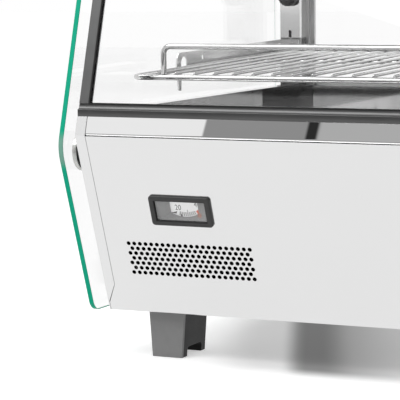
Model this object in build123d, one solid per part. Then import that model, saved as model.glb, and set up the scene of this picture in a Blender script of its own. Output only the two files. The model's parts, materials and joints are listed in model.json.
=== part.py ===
"""Heated counter display case.

A stainless base with an inclined, perforated front carries a recessed warm deck, a glazed
cabinet with two wire shelves, a lamp in the roof and two sliding glass doors at the rear.
Flat side glasses stand off the base and roof on round discs.

The model is drawn in millimetres with x = 0 at mid width, y = 0 at the front fold and z = 0
on the table. Every piece is moved on export so that the part's origin is the middle of its
footprint.
"""
from build123d import *
from math import cos, radians, sin, sqrt, tan
import os

os.makedirs("parts", exist_ok=True)

# Driving sizes of the body
body_width = 660.0
body_depth = 510.0
foot_height = 45.0
fold_height = 219.8
lower_tilt = 20.5
upper_tilt = 17.0
band_height = 17.8
cabinet_height = 316.0
canopy_height = 44.0
sheet = 1.2
edge_gap = 0.4
flange = 18.0

# Folded strips of the end panels
strip_width = 10.5
mitre_start_rise = 28.5
mitre_end_rise = 8.1
fold_gap = 0.6
hem_radius = 1.4

# Well and deck
deck_recess = 16.5
well_side_inset = 12.0
well_front = 22.0
well_rear = 486.0
well_skirt = 12.0

# Flats that stand for round outlines, by radius
tiny_round = 3.3
tiny_sides = 6
small_round = 5.6
small_sides = 8
large_sides = 12

# Vent field, in mm from the left edge and down the slope
vent_first_x = 34.9
vent_first_drop = 112.0
vent_pitch = 6.0
vent_columns = 22
vent_rows = 7
vent_radius = 2.35

# Thermometer, in mm from the left edge and down the slope
thermometer_left = 65.7
thermometer_drop = 59.4
bezel_width = 63.0
bezel_height = 30.5
bezel_depth = 2.8
bezel_border_side = 6.0
bezel_border_top = 5.5
bezel_corner = 3.2
lens_thickness = 1.2
lens_lap = 0.7
case_width = 56.0
case_height = 24.0
case_depth = 24.0
funnel_width = 28.8
funnel_height = 19.4
funnel_depth = 6.5
chamber_width = 44.0
chamber_height = 22.0
chamber_depth = 2.5
dial_thickness = 0.8
pointer_length = 14.0
pointer_width = 1.6
pointer_thickness = 0.6
pointer_pivot_up = 7.5
pointer_pin_radius = 0.8
pointer_rest_angle = -83.0
pointer_hub_radius = 2.2
pin_clearance = 0.05
bulb_radius = 3.5
bulb_length = 60.0
bulb_turn = 15.0
bulb_y = 85.0
capillary_radius = 0.9

# Sill and front frame
sill_overhang = 0.5
sill_lip_height = 6.2
sill_height = 11.4
sill_depth = 24.0
sill_end_inset = 0.7
frame_lead = 0.3
frame_thickness = 9.3
upright_width = 10.1
upright_inset = 0.3
header_height = 18.0
glass_groove_lead = 1.8
glass_groove_depth = 6.0
glass_groove_width = 5.4
front_glass_thickness = 4.0
glass_engagement = 5.0
seal_show = 1.0

# Side glass and its stand-offs
side_glass_gap = 10.0
side_glass_thickness = 5.0
side_glass_upper_lead = 3.3
side_glass_lower_lead = 11.0
side_glass_front_radius = 35.0
side_glass_foot_radius = 20.0
side_glass_top_radius = 18.0
side_glass_rear_inset = 4.0
side_glass_bottom = 45.0
standoff_radius = 19.0
standoff_disc = 4.5
standoff_washer_radius = 18.4
standoff_stud_radius = 3.0
standoff_stud_length = 10.0
standoff_nose_y = 31.0
standoff_nose_drop = 16.9
standoff_rear_inset = 35.0
standoff_low_rise = 35.0
standoff_low_setback = 60.0
standoff_roof_setback = 45.0

# Shelf posts
post_width = 23.0
post_depth = 20.0
post_wall = 1.5
post_slot_width = 3.0
post_slot_height = 8.0
post_slot_rise = 75.5
post_slot_pitch = 48.0
post_slots = 6
knob_radius = 10.6
knob_length = 12.0
knob_rise = 117.5
knob_flutes = 10
flute_depth = 1.3
knob_stud_radius = 2.5

# Shelf brackets
bracket_sheet = 1.5
bracket_flange_drop = 69.2
bracket_tip_height = 17.5
bracket_slot_width = 14.5
bracket_slot_back = 14.5
bracket_hole_radius = 3.0
bracket_hole_shares = (0.22, 0.75, 0.975)
bracket_hole_drop = 10.0
bracket_root_drop = 3.5
bracket_crown_drop = 3.0
bracket_lug = 17.0
bracket_rim = 3.0
tip_run = 5.0
tip_rise = 0.8
tip_flat = 2.0
tip_chamfer = 4.0
tip_reach = 2.5
tip_throat = 12.0
lug_start = 2.0
lug_width = 5.0
lug_foot = 7.0
lower_bracket_tip = 196.0
upper_bracket_tip = 270.0
upper_flange_share = 0.6
ledge_width = 19.5
ledge_setback = 4.0

# Wire shelves
shelf_tilt = 1.2
shelf_front = 76.0
shelf_rise = 47.4
shelf_rear_clearance = 6.5
shelf_end_inset = 21.5
rim_radius = 2.9
rim_corner = 8.0
rung_radius = 1.5
rung_count = 29
rung_end_inset = 49.7
rung_overhang = 3.0
cross_wire_radius = 2.25
weld_sink = 0.35
lip_radius = 2.8
lip_height = 29.5
lip_bend = 6.0
lip_end_inset = 56.5
seat_gap = 0.3
bolt_clearance = 0.2
upper_shelf_rise = 143.0
upper_shelf_setback = 96.0
lower_cross_wire = 229.0
upper_cross_wire = 150.0

# Rear frame and sliding doors
rear_upright_width = 35.0
rear_upright_inset = 3.0
rear_upright_depth = 22.0
rear_upright_wall = 1.5
rear_foot_height = 3.5
rear_foot_width = 40.5
jamb_width = 5.0
jamb_thickness = 2.0
jamb_front = 491.0
door_glass_thickness = 4.0
inner_door_front = 495.0
outer_door_front = 502.0
track_clearance = 0.4
track_rib = 2.2
bottom_track_height = 8.0
track_floor = 3.7
top_track_height = 13.0
top_track_cover = 2.0
top_track_grip = 6.0
rear_frame_inset = 2.0
track_mouth = 3.0
door_end_gap = 0.5
door_lap = 12.0
grip_radius = 15.0
grip_wall = 2.0
grip_flange = 3.0
grip_flange_thickness = 0.8
grip_inset = 40.0
grip_rise = 160.0

# Roof
canopy_lap = 22.0
liner_gap = 1.0
reflector_front = 215.0
reflector_mouth = 90.0
reflector_top = 40.0
reflector_height = 30.0
reflector_half_length = 255.0
lamp_radius = 6.0
lamp_half_length = 225.0
lamp_drop = 12.0
holder_width = 14.0
holder_margin = 3.0
reflector_rim = 8.0

# Feet
foot_front = 75.0
foot_depth = 52.4
foot_width = 31.6
foot_flare = 3.2
foot_inner_edge = 41.0
foot_rear_inset = 30.0
arch_front_pad = 12.0
arch_length = 31.0
arch_height = 9.3
arch_corner = 2.5
foot_bolt_radius = 3.0
foot_bolt_head_radius = 5.0
foot_bolt_head = 4.0
foot_bolt_reach = 8.0

# Rear controls
thermostat_inset = 180.0
control_rise = 85.0
thermostat_size = 36.0
thermostat_depth = 30.0
shaft_radius = 3.0
shaft_length = 12.0
shaft_hole = 5.0
control_knob_radius = 20.0
control_knob_skirt = 1.6
control_knob_length = 16.0
control_knob_gap = 0.5
control_grip_radius = 14.4
control_ridge_width = 8.4
control_ridge_length = 34.0
control_grip_length = 12.8
shaft_clearance = 0.05
switch_offset = 80.0
switch_pitch = 40.0
switch_width = 22.0
switch_height = 30.0
switch_rim = 2.0
switch_depth = 22.0
rocker_width = 13.0
rocker_half_height = 9.0
rocker_rise = 3.0
rocker_dip = 1.5
rocker_root = 7.0
rocker_gap = 0.6
gland_inset = 80.0
gland_rise = 45.0
gland_radius = 11.0
gland_barrel_radius = 8.8
gland_length = 18.0
gland_bore = 4.0
gland_tail_radius = 8.0
gland_tail = 12.0
gland_nut = 7.2
gland_ring = 4.0

# Heating element and terminal block under the deck
element_radius = 4.0
element_gap = 0.2
element_reach = 250.0
element_front = 120.0
element_pitch = 80.0
element_passes = 4
element_bend = 24.0
terminal_length = 60.0
terminal_width = 22.0
terminal_height = 18.0
terminal_step = 10.8
terminal_ledge = 6.0
terminal_from_gland = 90.0
terminal_hole_radius = 2.0
terminal_poles = 4

# Worked out from the driving sizes
half = body_width / 2
inner_half = half - sheet
sill_base = fold_height + band_height
base_top = sill_base + 2 * sheet
sill_top = sill_base + sill_height
deck_top = base_top - deck_recess
canopy_base = base_top + cabinet_height
post_first_slot = deck_top + post_slot_rise
knob_height_z = deck_top + knob_rise
shelf_level = deck_top + shelf_rise
grip_height_z = base_top + grip_rise
control_height_z = foot_height + control_rise
gland_height_z = foot_height + gland_rise
thermostat_x = half - thermostat_inset
switch_x = thermostat_x - switch_offset
gland_x = -half + gland_inset
panel_half = half - strip_width - sheet / 2
canopy_top = canopy_base + canopy_height
glass_inner_x = half + side_glass_gap
lower_slope = tan(radians(lower_tilt))
upper_slope = tan(radians(upper_tilt))
lower_length = (fold_height - foot_height) / cos(radians(lower_tilt))
mitre_start = lower_length - mitre_start_rise
mitre_end = lower_length - mitre_end_rise
deck_under = deck_top - sheet
rear_face = body_depth
knob_reach = control_knob_gap + control_knob_length


def lower_y(z, lead=0.0):
    """Depth of the inclined lower front at height z, moved out by lead."""
    return (fold_height - z) * lower_slope - lead / cos(radians(lower_tilt))


def upper_y(z, lead=0.0):
    """Depth of the inclined upper front at height z, moved out by lead."""
    return (z - fold_height) * upper_slope - lead / cos(radians(upper_tilt))


def frame_y(z, inward=0.0):
    """Depth of the front frame's outer face at height z, moved in by inward."""
    return upper_y(z, frame_lead - inward)


# The nose of the side glass is where its two inclined edges meet
nose_lead_lower = side_glass_lower_lead / cos(radians(lower_tilt))
nose_lead_upper = side_glass_upper_lead / cos(radians(upper_tilt))
nose_half_turn = radians((lower_tilt + upper_tilt) / 2)
nose_lean = radians((lower_tilt - upper_tilt) / 2)
nose_rise = (nose_lead_upper - nose_lead_lower) / (lower_slope + upper_slope)
nose_y = -nose_lead_lower - nose_rise * lower_slope
nose_z = fold_height + nose_rise
front_reach = nose_y + side_glass_front_radius * (cos(nose_lean) / cos(nose_half_turn) - 1)
rear_reach = rear_face + max(knob_reach, gland_length)
depth_centre = (front_reach + rear_reach) / 2
lower_front = Plane(
    origin=(-half, 0, fold_height),
    x_dir=(1, 0, 0),
    z_dir=(0, -cos(radians(lower_tilt)), -sin(radians(lower_tilt))),
)
upper_front = Plane(
    origin=(-half, 0, fold_height),
    x_dir=(1, 0, 0),
    z_dir=(0, -cos(radians(upper_tilt)), sin(radians(upper_tilt))),
)
pieces = {}


def save(name, *solids):
    """Keep a node; a node of several like pieces is a group of separate solids."""
    found = [solid for shape in solids for solid in shape.solids()]
    pieces[name] = found[0] if len(found) == 1 else Compound(children=found)


def bar(points, x_from, x_to):
    """A bar along x whose section is the closed outline of (y, z) points."""
    outline = Wire.make_polygon([Vector(x_from, y, z) for y, z in points], close=True)
    return extrude(Face(outline), amount=x_to - x_from, dir=(1, 0, 0))


def block(x_from, x_to, y_from, y_to, z_from, z_to):
    """A box between two corners."""
    middle = ((x_from + x_to) / 2, (y_from + y_to) / 2, (z_from + z_to) / 2)
    return Pos(*middle) * Box(x_to - x_from, y_to - y_from, z_to - z_from)


def disc(radius):
    """A round outline, drawn with as many flats as its size needs."""
    if radius < tiny_round:
        return RegularPolygon(radius, tiny_sides)
    if radius < small_round:
        return RegularPolygon(radius, small_sides)
    return RegularPolygon(radius, large_sides)


def rod(start, direction, radius, length):
    """A round bar from start along direction, drawn with flats."""
    return extrude(Plane(start, z_dir=direction) * disc(radius), length)


def true_rod(start, direction, radius, length):
    """A truly round bar, for the shafts, pins and bores that other pieces turn or fit in."""
    return extrude(Plane(start, z_dir=direction) * Circle(radius), length)


def bent(points, radius, closed=False):
    """A path through points whose square corners are bends drawn as two chords each."""
    corners = [Vector(*point) for point in points]
    path = [] if closed else [corners[0]]
    count = len(corners)
    for index in range(0 if closed else 1, count if closed else count - 1):
        here = corners[index]
        back = (here - corners[index - 1]).normalized()
        ahead = (corners[(index + 1) % count] - here).normalized()
        centre = here - back * radius + ahead * radius
        for turn in (0, 45, 90):
            path.append(centre - ahead * (radius * cos(radians(turn))) + back * (radius * sin(radians(turn))))
    if not closed:
        path.append(corners[-1])
    return Polyline(*path, close=closed)


def folded(path, thickness, x_from, x_to):
    """A folded sheet along x: the (y, z) path is its outer face, thickness is on the right."""
    inner = []
    for index, (y, z) in enumerate(path):
        normals = []
        for a, b in ((index - 1, index), (index, index + 1)):
            if a >= 0 and b < len(path):
                dy = path[b][0] - path[a][0]
                dz = path[b][1] - path[a][1]
                run = sqrt(dy * dy + dz * dz)
                normals.append((dz / run, -dy / run))
        ny = sum(normal[0] for normal in normals) / len(normals)
        nz = sum(normal[1] for normal in normals) / len(normals)
        scale = thickness / (ny * ny + nz * nz)
        inner.append((y + ny * scale, z + nz * scale))
    return bar(path + inner[::-1], x_from, x_to)


def mirrored(shape):
    """The right-hand twin of a left-hand piece."""
    return mirror(shape, about=Plane.YZ)


def end_panel():
    """The left end panel with its strips folded on to the inclined front."""
    outline = [
        (lower_y(foot_height), foot_height),
        (0, fold_height),
        (upper_y(sill_base), sill_base),
        (sill_depth + edge_gap, sill_base),
        (sill_depth + edge_gap, base_top),
        (rear_face, base_top),
        (rear_face, foot_height),
    ]
    plate = bar(outline, -half, -inner_half)
    lower_strip = Polyline(
        (sheet / 2, 0),
        (strip_width, 0),
        (strip_width, -mitre_start),
        (sheet / 2, -mitre_end),
        close=True,
    )
    band_rise = (sill_base - fold_height) / cos(radians(upper_tilt))
    band_strip = Polyline(
        (sheet / 2, 0),
        (strip_width, 0),
        (strip_width, band_rise),
        (sheet / 2, band_rise),
        close=True,
    )
    lower = extrude(lower_front * make_face(lower_strip), -sheet)
    upper = extrude(upper_front * make_face(band_strip), -sheet)
    panel = plate + lower + upper
    for y, z in standoff_places(lower_only=True):
        panel -= rod((-half - 1, y, z), (1, 0, 0), standoff_stud_radius + bolt_clearance, sheet + 2)
    return panel


def vent_holes():
    """The staggered vent field: odd rows are full, even rows sit half a pitch over."""
    holes = []
    row_drop = vent_pitch * sin(radians(60))
    for row in range(vent_rows):
        shift = (row % 2) * vent_pitch / 2
        for column in range(vent_columns - row % 2):
            x = vent_first_x + shift + column * vent_pitch
            holes.append(Pos(x, -vent_first_drop - row * row_drop) * disc(vent_radius))
    return holes


def front_panel():
    """The inclined, perforated lower front with its return flange."""
    edge = strip_width + edge_gap
    corner = sheet + edge_gap
    width = body_width
    bottom = -lower_length
    outline = Polyline(
        (edge, -fold_gap),
        (width - edge, -fold_gap),
        (width - edge, -mitre_start),
        (width - corner, -mitre_end),
        (width - corner, bottom),
        (corner, bottom),
        (corner, -mitre_end),
        (edge, -mitre_start),
        close=True,
    )
    face = make_face(outline) - vent_holes()
    cut_width = case_width + 2 * edge_gap
    cut_height = case_height + 2 * edge_gap
    face -= Pos(*thermometer_centre()) * Rectangle(cut_width, cut_height)
    slope = extrude(lower_front * face, -sheet)
    inside = sheet / cos(radians(lower_tilt))
    hem = bar(
        [
            (lower_y(foot_height), foot_height),
            (lower_y(foot_height) + flange, foot_height),
            (lower_y(foot_height) + flange, foot_height + sheet),
            (lower_y(foot_height + sheet) + inside, foot_height + sheet),
            (lower_y(foot_height + sheet) + inside / 2, foot_height + sheet),
        ],
        -half + corner,
        half - corner,
    )
    return slope + hem


def front_band():
    """The band over the fold: a rolled hem below and a shelf for the sill above."""
    low = (upper_y(fold_height + hem_radius), fold_height + hem_radius)
    path = [
        low,
        (upper_y(sill_base), sill_base),
        (sill_depth, sill_base),
    ]
    band = folded(path, sheet, -panel_half, panel_half)
    hem = rod(
        (-panel_half, low[0] + sheet / 2, low[1]),
        (1, 0, 0),
        hem_radius,
        2 * panel_half,
    )
    return band + hem


def thermometer_centre():
    """Middle of the thermometer on the lower front's plane."""
    return thermometer_left + bezel_width / 2, -thermometer_drop - bezel_height / 2


def on_thermometer(shape, out=0.0):
    """Place a piece drawn about the thermometer's middle, moved out along its axis."""
    return lower_front * Pos(*thermometer_centre(), out) * shape


def thermometer():
    """Bezel, lens, case, dial and pointer."""
    window_width = bezel_width - 2 * bezel_border_side
    window_height = bezel_height - 2 * bezel_border_top
    outline = chamfer(Rectangle(bezel_width, bezel_height).vertices(), bezel_corner)
    frame = extrude(outline, bezel_depth)
    rim = frame.faces().sort_by(Axis.Z)[-1].outer_wire().edges()
    frame = chamfer(rim, bezel_depth / 3)
    frame -= extrude(Rectangle(window_width, window_height), bezel_depth)
    seat = Rectangle(window_width + 2 * lens_lap, window_height + 2 * lens_lap)
    frame -= extrude(seat, lens_thickness)
    save("thermometer_bezel", on_thermometer(frame))
    save("thermometer_lens", on_thermometer(extrude(seat, lens_thickness)))

    case = extrude(Rectangle(case_width, case_height), -case_depth)
    mouth = Rectangle(window_width, window_height)
    throat = Pos(0, 0, -funnel_depth) * Rectangle(funnel_width, funnel_height)
    case -= loft([mouth, throat], ruled=True)
    chamber = Rectangle(chamber_width, chamber_height)
    case -= Pos(0, 0, -funnel_depth) * extrude(chamber, -chamber_depth)
    case -= extrude(Pos(0, 0, -funnel_depth) * Rectangle(funnel_width, funnel_height), -chamber_depth)
    save("thermometer_case", on_thermometer(case))

    back = -funnel_depth - chamber_depth
    dial = Pos(0, 0, back) * extrude(chamber, dial_thickness)
    pivot = Pos(0, pointer_pivot_up, back + dial_thickness)
    pin = pivot * extrude(disc(pointer_pin_radius), pointer_thickness * 3)
    save("thermometer_dial", on_thermometer(dial + pin))

    hub = disc(pointer_hub_radius)
    blade = make_face(
        Polyline(
            (-pointer_width / 2, 0),
            (pointer_width / 2, 0),
            (pointer_width / 4, -pointer_length),
            (-pointer_width / 4, -pointer_length),
            close=True,
        )
    )
    flat = hub + blade - Circle(pointer_pin_radius + pin_clearance)
    pointer = extrude(Rot(0, 0, pointer_rest_angle) * flat, pointer_thickness)
    pointer = pivot * Pos(0, 0, pointer_thickness) * pointer
    save("thermometer_pointer", on_thermometer(pointer))


def thermometer_bulb():
    """The sensing bulb under the deck and the thin tube that joins it to the case."""
    x = -half + thermometer_centre()[0]
    bulb_z = deck_under - bulb_radius - element_gap
    bulb = rod((x + bulb_turn, bulb_y, bulb_z), (1, 0, 0), bulb_radius, bulb_length)
    inward = Vector(0, cos(radians(lower_tilt)), sin(radians(lower_tilt)))
    start = (lower_front * Pos(*thermometer_centre(), -case_depth)).position
    bend = start + inward * ((bulb_y - bulb_turn - start.Y) / inward.Y)
    route = Polyline(
        start,
        bend,
        (x, bulb_y, bulb_z - bulb_turn),
        (x + bulb_turn / 3, bulb_y, bulb_z - bulb_turn / 3),
        (x + bulb_turn, bulb_y, bulb_z),
    )
    section = Plane(start, z_dir=inward) * disc(capillary_radius)
    tube = sweep(section, path=route, transition=Transition.RIGHT)
    return bulb + tube


def standoff_places(lower_only=False):
    """Centres (y, z) of the side glass's stand-offs."""
    low_z = foot_height + standoff_low_rise
    rear_y = rear_face - standoff_rear_inset
    high_z = fold_height - standoff_nose_drop
    places = [
        (standoff_nose_y, high_z),
        (rear_y, high_z),
        (lower_y(low_z) + standoff_low_setback, low_z),
        (rear_y, low_z),
    ]
    if not lower_only:
        roof_z = canopy_base + canopy_height / 2
        places += [(frame_y(roof_z) + standoff_roof_setback, roof_z), (rear_y, roof_z)]
    return places


def side_glass():
    """The left side glass, a flat pane that follows the profile."""
    top = canopy_top - 1
    corners = [
        (lower_y(side_glass_bottom, side_glass_lower_lead), side_glass_bottom),
        (nose_y, nose_z),
        (upper_y(top, side_glass_upper_lead), top),
        (rear_face - side_glass_rear_inset, top),
        (rear_face - side_glass_rear_inset, side_glass_bottom),
    ]
    radii = [
        side_glass_foot_radius,
        side_glass_front_radius,
        side_glass_top_radius,
        side_glass_top_radius,
        side_glass_top_radius,
    ]
    points = [Vector(-glass_inner_x, y, z) for y, z in corners]
    outline = FilletPolyline(*points, radius=radii, close=True)
    path = []
    for edge in outline.edges():
        shares = (0, 0.25, 0.5, 0.75) if edge.geom_type == GeomType.CIRCLE else (0,)
        path += [edge @ share for share in shares]
    pane = Face(Wire.make_polygon(path, close=True))
    return extrude(pane, amount=side_glass_thickness, dir=(-1, 0, 0))


def standoffs():
    """Discs bonded to the side glass, each with a stud into the body, over dark washers."""
    caps = []
    washers = []
    for y, z in standoff_places():
        inward = (1, 0, 0)
        cap = rod((-glass_inner_x, y, z), inward, standoff_radius, standoff_disc)
        reach = side_glass_gap + standoff_stud_length
        stud = rod((-glass_inner_x, y, z), inward, standoff_stud_radius, reach)
        gap = side_glass_gap - standoff_disc
        washer = rod((-half - gap, y, z), inward, standoff_washer_radius, gap)
        washer -= rod((-half - gap, y, z), inward, standoff_stud_radius, gap)
        caps.append(cap + stud)
        washers.append(washer)
    save("glass_standoffs", *caps, *[mirrored(cap) for cap in caps])
    save("standoff_washers", *washers, *[mirrored(washer) for washer in washers])


def well():
    """Deck plate and the four walls that hold it, with flanges on to the base."""
    wall_x = half - well_side_inset
    low = deck_under - well_skirt
    front_end = sill_depth + edge_gap
    rear_end = well_rear - edge_gap
    side = block(-wall_x - sheet, -wall_x, front_end, rear_end, low, base_top)
    ledge = block(-inner_half, -wall_x, front_end, rear_end, base_top - sheet, base_top)
    wall = side + ledge
    save("well_side_walls", wall, mirrored(wall))
    save("deck_plate", block(-wall_x, wall_x, well_front + sheet, well_rear, deck_under, deck_top))
    front = block(-wall_x, wall_x, well_front, well_front + sheet, low, sill_base - sheet)
    save("well_front_wall", front)
    rear = block(-inner_half, inner_half, well_rear, well_rear + sheet, low, base_top)
    top = block(-inner_half, inner_half, well_rear, rear_face - sheet, base_top - sheet, base_top)
    save("well_rear_wall", rear + top)


def groove(z_from, z_to, x_from, x_to):
    """The slanted space that holds the front glass and its seal."""
    front = glass_groove_lead
    back = glass_groove_lead + glass_groove_width
    points = [
        (frame_y(z_from, front), z_from),
        (frame_y(z_to, front), z_to),
        (frame_y(z_to, back), z_to),
        (frame_y(z_from, back), z_from),
    ]
    return bar(points, x_from, x_to)


def front_frame():
    """Sill, uprights, header, and the pane with its seal between them."""
    inner_x = half - upright_inset - upright_width
    groove_x = inner_x + glass_groove_depth
    groove_low = sill_top - glass_groove_depth
    header_low = canopy_base - header_height
    groove_high = header_low + glass_groove_depth
    space = groove(groove_low, groove_high, -groove_x, groove_x)

    sill_end = half - sill_end_inset
    sill_front = upper_y(sill_base) - sill_overhang
    sill = bar(
        [
            (sill_front, sill_base),
            (sill_front, sill_base + sill_lip_height),
            (frame_y(sill_top), sill_top),
            (sill_depth, sill_top),
            (sill_depth, sill_base),
        ],
        -sill_end,
        sill_end,
    )
    save("front_sill", sill - space)

    upright = bar(
        [
            (frame_y(sill_top), sill_top),
            (frame_y(canopy_base), canopy_base),
            (frame_y(canopy_base, frame_thickness), canopy_base),
            (frame_y(sill_top, frame_thickness), sill_top),
        ],
        -half + upright_inset,
        -inner_x,
    )
    save("front_upright_left", upright - space)
    save("front_upright_right", mirrored(upright - space))

    header = bar(
        [
            (frame_y(header_low), header_low),
            (frame_y(canopy_base), canopy_base),
            (frame_y(canopy_base, frame_thickness), canopy_base),
            (frame_y(header_low, frame_thickness), header_low),
        ],
        -inner_x,
        inner_x,
    )
    save("front_header", header - space)

    slack = glass_groove_depth - glass_engagement
    pane_lead = glass_groove_lead + (glass_groove_width - front_glass_thickness) / 2
    pane_x = groove_x - slack
    low = groove_low + slack
    high = groove_high - slack
    pane = bar(
        [
            (frame_y(low, pane_lead), low),
            (frame_y(high, pane_lead), high),
            (frame_y(high, pane_lead + front_glass_thickness), high),
            (frame_y(low, pane_lead + front_glass_thickness), low),
        ],
        -pane_x,
        pane_x,
    )
    save("front_glass", pane)
    show_x = inner_x - seal_show
    opening = groove(sill_top + seal_show, header_low - seal_show, -show_x, show_x)
    save("front_glass_seal", space - opening - pane)


def rear_panel():
    """The flat rear of the base, cut for the thermostat, the switches and the gland."""
    back = rear_face
    x = inner_half - edge_gap
    plate = block(-x, x, back - sheet, back, foot_height, base_top - sheet - edge_gap)
    hem = block(-x, x, back - flange, back, foot_height, foot_height + sheet)
    panel = plate + hem
    panel -= rod((thermostat_x, back - 5, control_height_z), (0, 1, 0), shaft_hole, 10)
    for place in (switch_x, switch_x - switch_pitch):
        hw = switch_width / 2 - switch_rim / 2
        hh = switch_height / 2 - switch_rim / 2
        low = control_height_z - hh
        high = control_height_z + hh
        panel -= block(place - hw, place + hw, back - 5, back + 5, low, high)
    panel -= rod((gland_x, back - 5, gland_height_z), (0, 1, 0), gland_tail_radius, 10)
    return panel


def bottom_plate():
    """The floor of the base with upturned side flanges and the holes of the foot bolts."""
    front = lower_y(foot_height) + flange + edge_gap
    back = rear_face - flange - edge_gap
    x = inner_half - edge_gap
    plate = block(-x, x, front, back, foot_height, foot_height + sheet)
    plate += block(-x, -x + sheet, front, back, foot_height, foot_height + flange)
    plate += block(x - sheet, x, front, back, foot_height, foot_height + flange)
    for bx, by in foot_bolt_places():
        plate -= rod((bx, by, foot_height - 1), (0, 0, 1), foot_bolt_radius + bolt_clearance, sheet + 2)
    return plate


def foot_bolt_places():
    """Bolt centres of the four feet."""
    x = half - foot_inner_edge - foot_width / 2
    front = foot_front + foot_depth / 2
    rear = rear_face - foot_rear_inset - foot_depth / 2
    return [(side * x, y) for y in (front, rear) for side in (-1, 1)]


def foot(x, y):
    """A tapered foot with an arch through its side and a bolt up its middle."""
    base = Pos(x, y, 0) * Rectangle(foot_width, foot_depth)
    top = Pos(x, y, foot_height) * Rectangle(foot_width + 2 * foot_flare, foot_depth)
    body = loft([base, top], ruled=True)
    toward = 1 if y < rear_face / 2 else -1
    middle = y + toward * (arch_front_pad + arch_length / 2 - foot_depth / 2)
    opening = Rectangle(arch_length, 2 * arch_height)
    arch = Plane.YZ * chamfer(opening.vertices(), arch_corner)
    body -= Pos(x, middle, 0) * extrude(arch, foot_width, both=True)
    body -= rod((x, y, 0), (0, 0, 1), foot_bolt_radius + bolt_clearance, 2 * foot_height)
    seat = arch_height + foot_bolt_head
    body -= rod((x, y, 0), (0, 0, 1), foot_bolt_head_radius + bolt_clearance, seat)
    return body


def feet():
    """Four feet, each with its bolt through the bottom plate."""
    places = foot_bolt_places()
    save("front_feet", *[foot(x, y) for x, y in places[:2]])
    save("rear_feet", *[foot(x, y) for x, y in places[2:]])
    bolts = []
    for x, y in places:
        head = rod((x, y, arch_height), (0, 0, 1), foot_bolt_head_radius, foot_bolt_head)
        length = foot_height + foot_bolt_reach - arch_height
        shank = rod((x, y, arch_height), (0, 0, 1), foot_bolt_radius, length)
        bolts.append(head + shank)
    save("foot_bolts", *bolts)


def shelf_post():
    """The left shelf post: a channel with a row of slots down its face."""
    x_from = -half + well_side_inset
    x_to = x_from + post_width
    y_from = well_rear - post_depth
    post = block(x_from, x_to, y_from, well_rear, deck_top, canopy_base + sheet)
    inside = (x_from + post_wall, x_to - post_wall, y_from + post_wall, well_rear)
    post -= block(*inside, deck_top, canopy_base + sheet)
    middle = (x_from + x_to) / 2
    for index in range(post_slots):
        z = post_first_slot + index * post_slot_pitch
        if abs(z - knob_height_z) > knob_radius:
            slot = block(-post_slot_width / 2, post_slot_width / 2, -1, post_wall + 1, 0, post_slot_height)
            post -= Pos(middle, y_from, z - post_slot_height / 2) * slot
    post -= rod((middle, y_from - 1, knob_height_z), (0, 1, 0), knob_stud_radius, post_wall + 2)
    return post


def clamp_screw():
    """A screw with a round fluted head that clamps the left post to the rear frame."""
    middle = -half + well_side_inset + post_width / 2
    face = well_rear - post_depth
    outline = []
    for index in range(knob_flutes):
        for share, radius in ((0, knob_radius), (0.5, knob_radius), (0.75, knob_radius - flute_depth)):
            angle = radians((index + share) * 360 / knob_flutes)
            outline.append((radius * cos(angle), radius * sin(angle)))
    plane = Plane((middle, face, knob_height_z), z_dir=(0, -1, 0))
    knob = extrude(plane * make_face(Polyline(*outline, close=True)), knob_length)
    stud_length = post_depth + rear_upright_wall
    return knob + rod((middle, face, knob_height_z), (0, 1, 0), knob_stud_radius, stud_length)


def shelf_z(y, rise):
    """Height of a shelf's rim wire at depth y."""
    return shelf_level + rise + (y - shelf_front) * tan(radians(shelf_tilt))


def bracket(tip, rise):
    """A left shelf bracket: root flange on the post, side plate with slot, and ledge."""
    x_wall = -half + well_side_inset
    root = well_rear - post_depth
    crest = shelf_z(root, rise) + bracket_tip_height - bracket_root_drop
    nose = shelf_z(tip, rise)
    crown = nose + bracket_tip_height - bracket_crown_drop
    under = shelf_z(tip, rise) - rim_radius - seat_gap - 2 * bracket_sheet
    outline = [
        (tip + tip_run, crown + tip_rise),
        (tip + tip_flat, crown),
        (tip - tip_flat / 2, crown - tip_chamfer),
        (tip - tip_reach, nose),
        (tip, nose - tip_throat),
        (tip + lug_start, under - bracket_lug),
        (tip + lug_start + lug_width, under - bracket_lug),
        (tip + lug_start + lug_foot, under),
        (root, shelf_z(root, rise) - rim_radius - seat_gap - 2 * bracket_sheet),
        (root, crest),
    ]
    plate = bar(outline, x_wall, x_wall + bracket_sheet)
    slot_y = tip + bracket_slot_back
    half_slot = bracket_slot_width / 2
    slot_top = crown - bracket_rim - half_slot
    slot_low = nose - rim_radius + 1
    slot = block(x_wall - 1, x_wall + 3, slot_y - half_slot, slot_y + half_slot, slot_low, slot_top)
    slot += rod((x_wall - 1, slot_y, slot_top), (1, 0, 0), half_slot, 4)
    plate -= slot
    for share in bracket_hole_shares:
        y = tip + share * (root - tip)
        z = shelf_z(y, rise) + bracket_tip_height - bracket_hole_drop
        plate -= rod((x_wall - 1, y, z), (1, 0, 0), bracket_hole_radius, 4)
    flange_share = 1 if rise == 0 else upper_flange_share
    flange_low = crest - bracket_flange_drop * flange_share
    flange_x = x_wall + post_width - edge_gap
    root_flange = block(x_wall, flange_x, root - bracket_sheet, root, flange_low, crest)
    start = tip + ledge_setback
    end = root - bracket_sheet
    start_top = shelf_z(start, rise) - rim_radius - seat_gap
    end_top = shelf_z(end, rise) - rim_radius - seat_gap
    ledge = bar(
        [
            (start, start_top),
            (end, end_top),
            (end, end_top - bracket_sheet),
            (start, start_top - bracket_sheet),
        ],
        x_wall,
        x_wall + bracket_sheet + ledge_width,
    )
    return plate + root_flange + ledge


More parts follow.
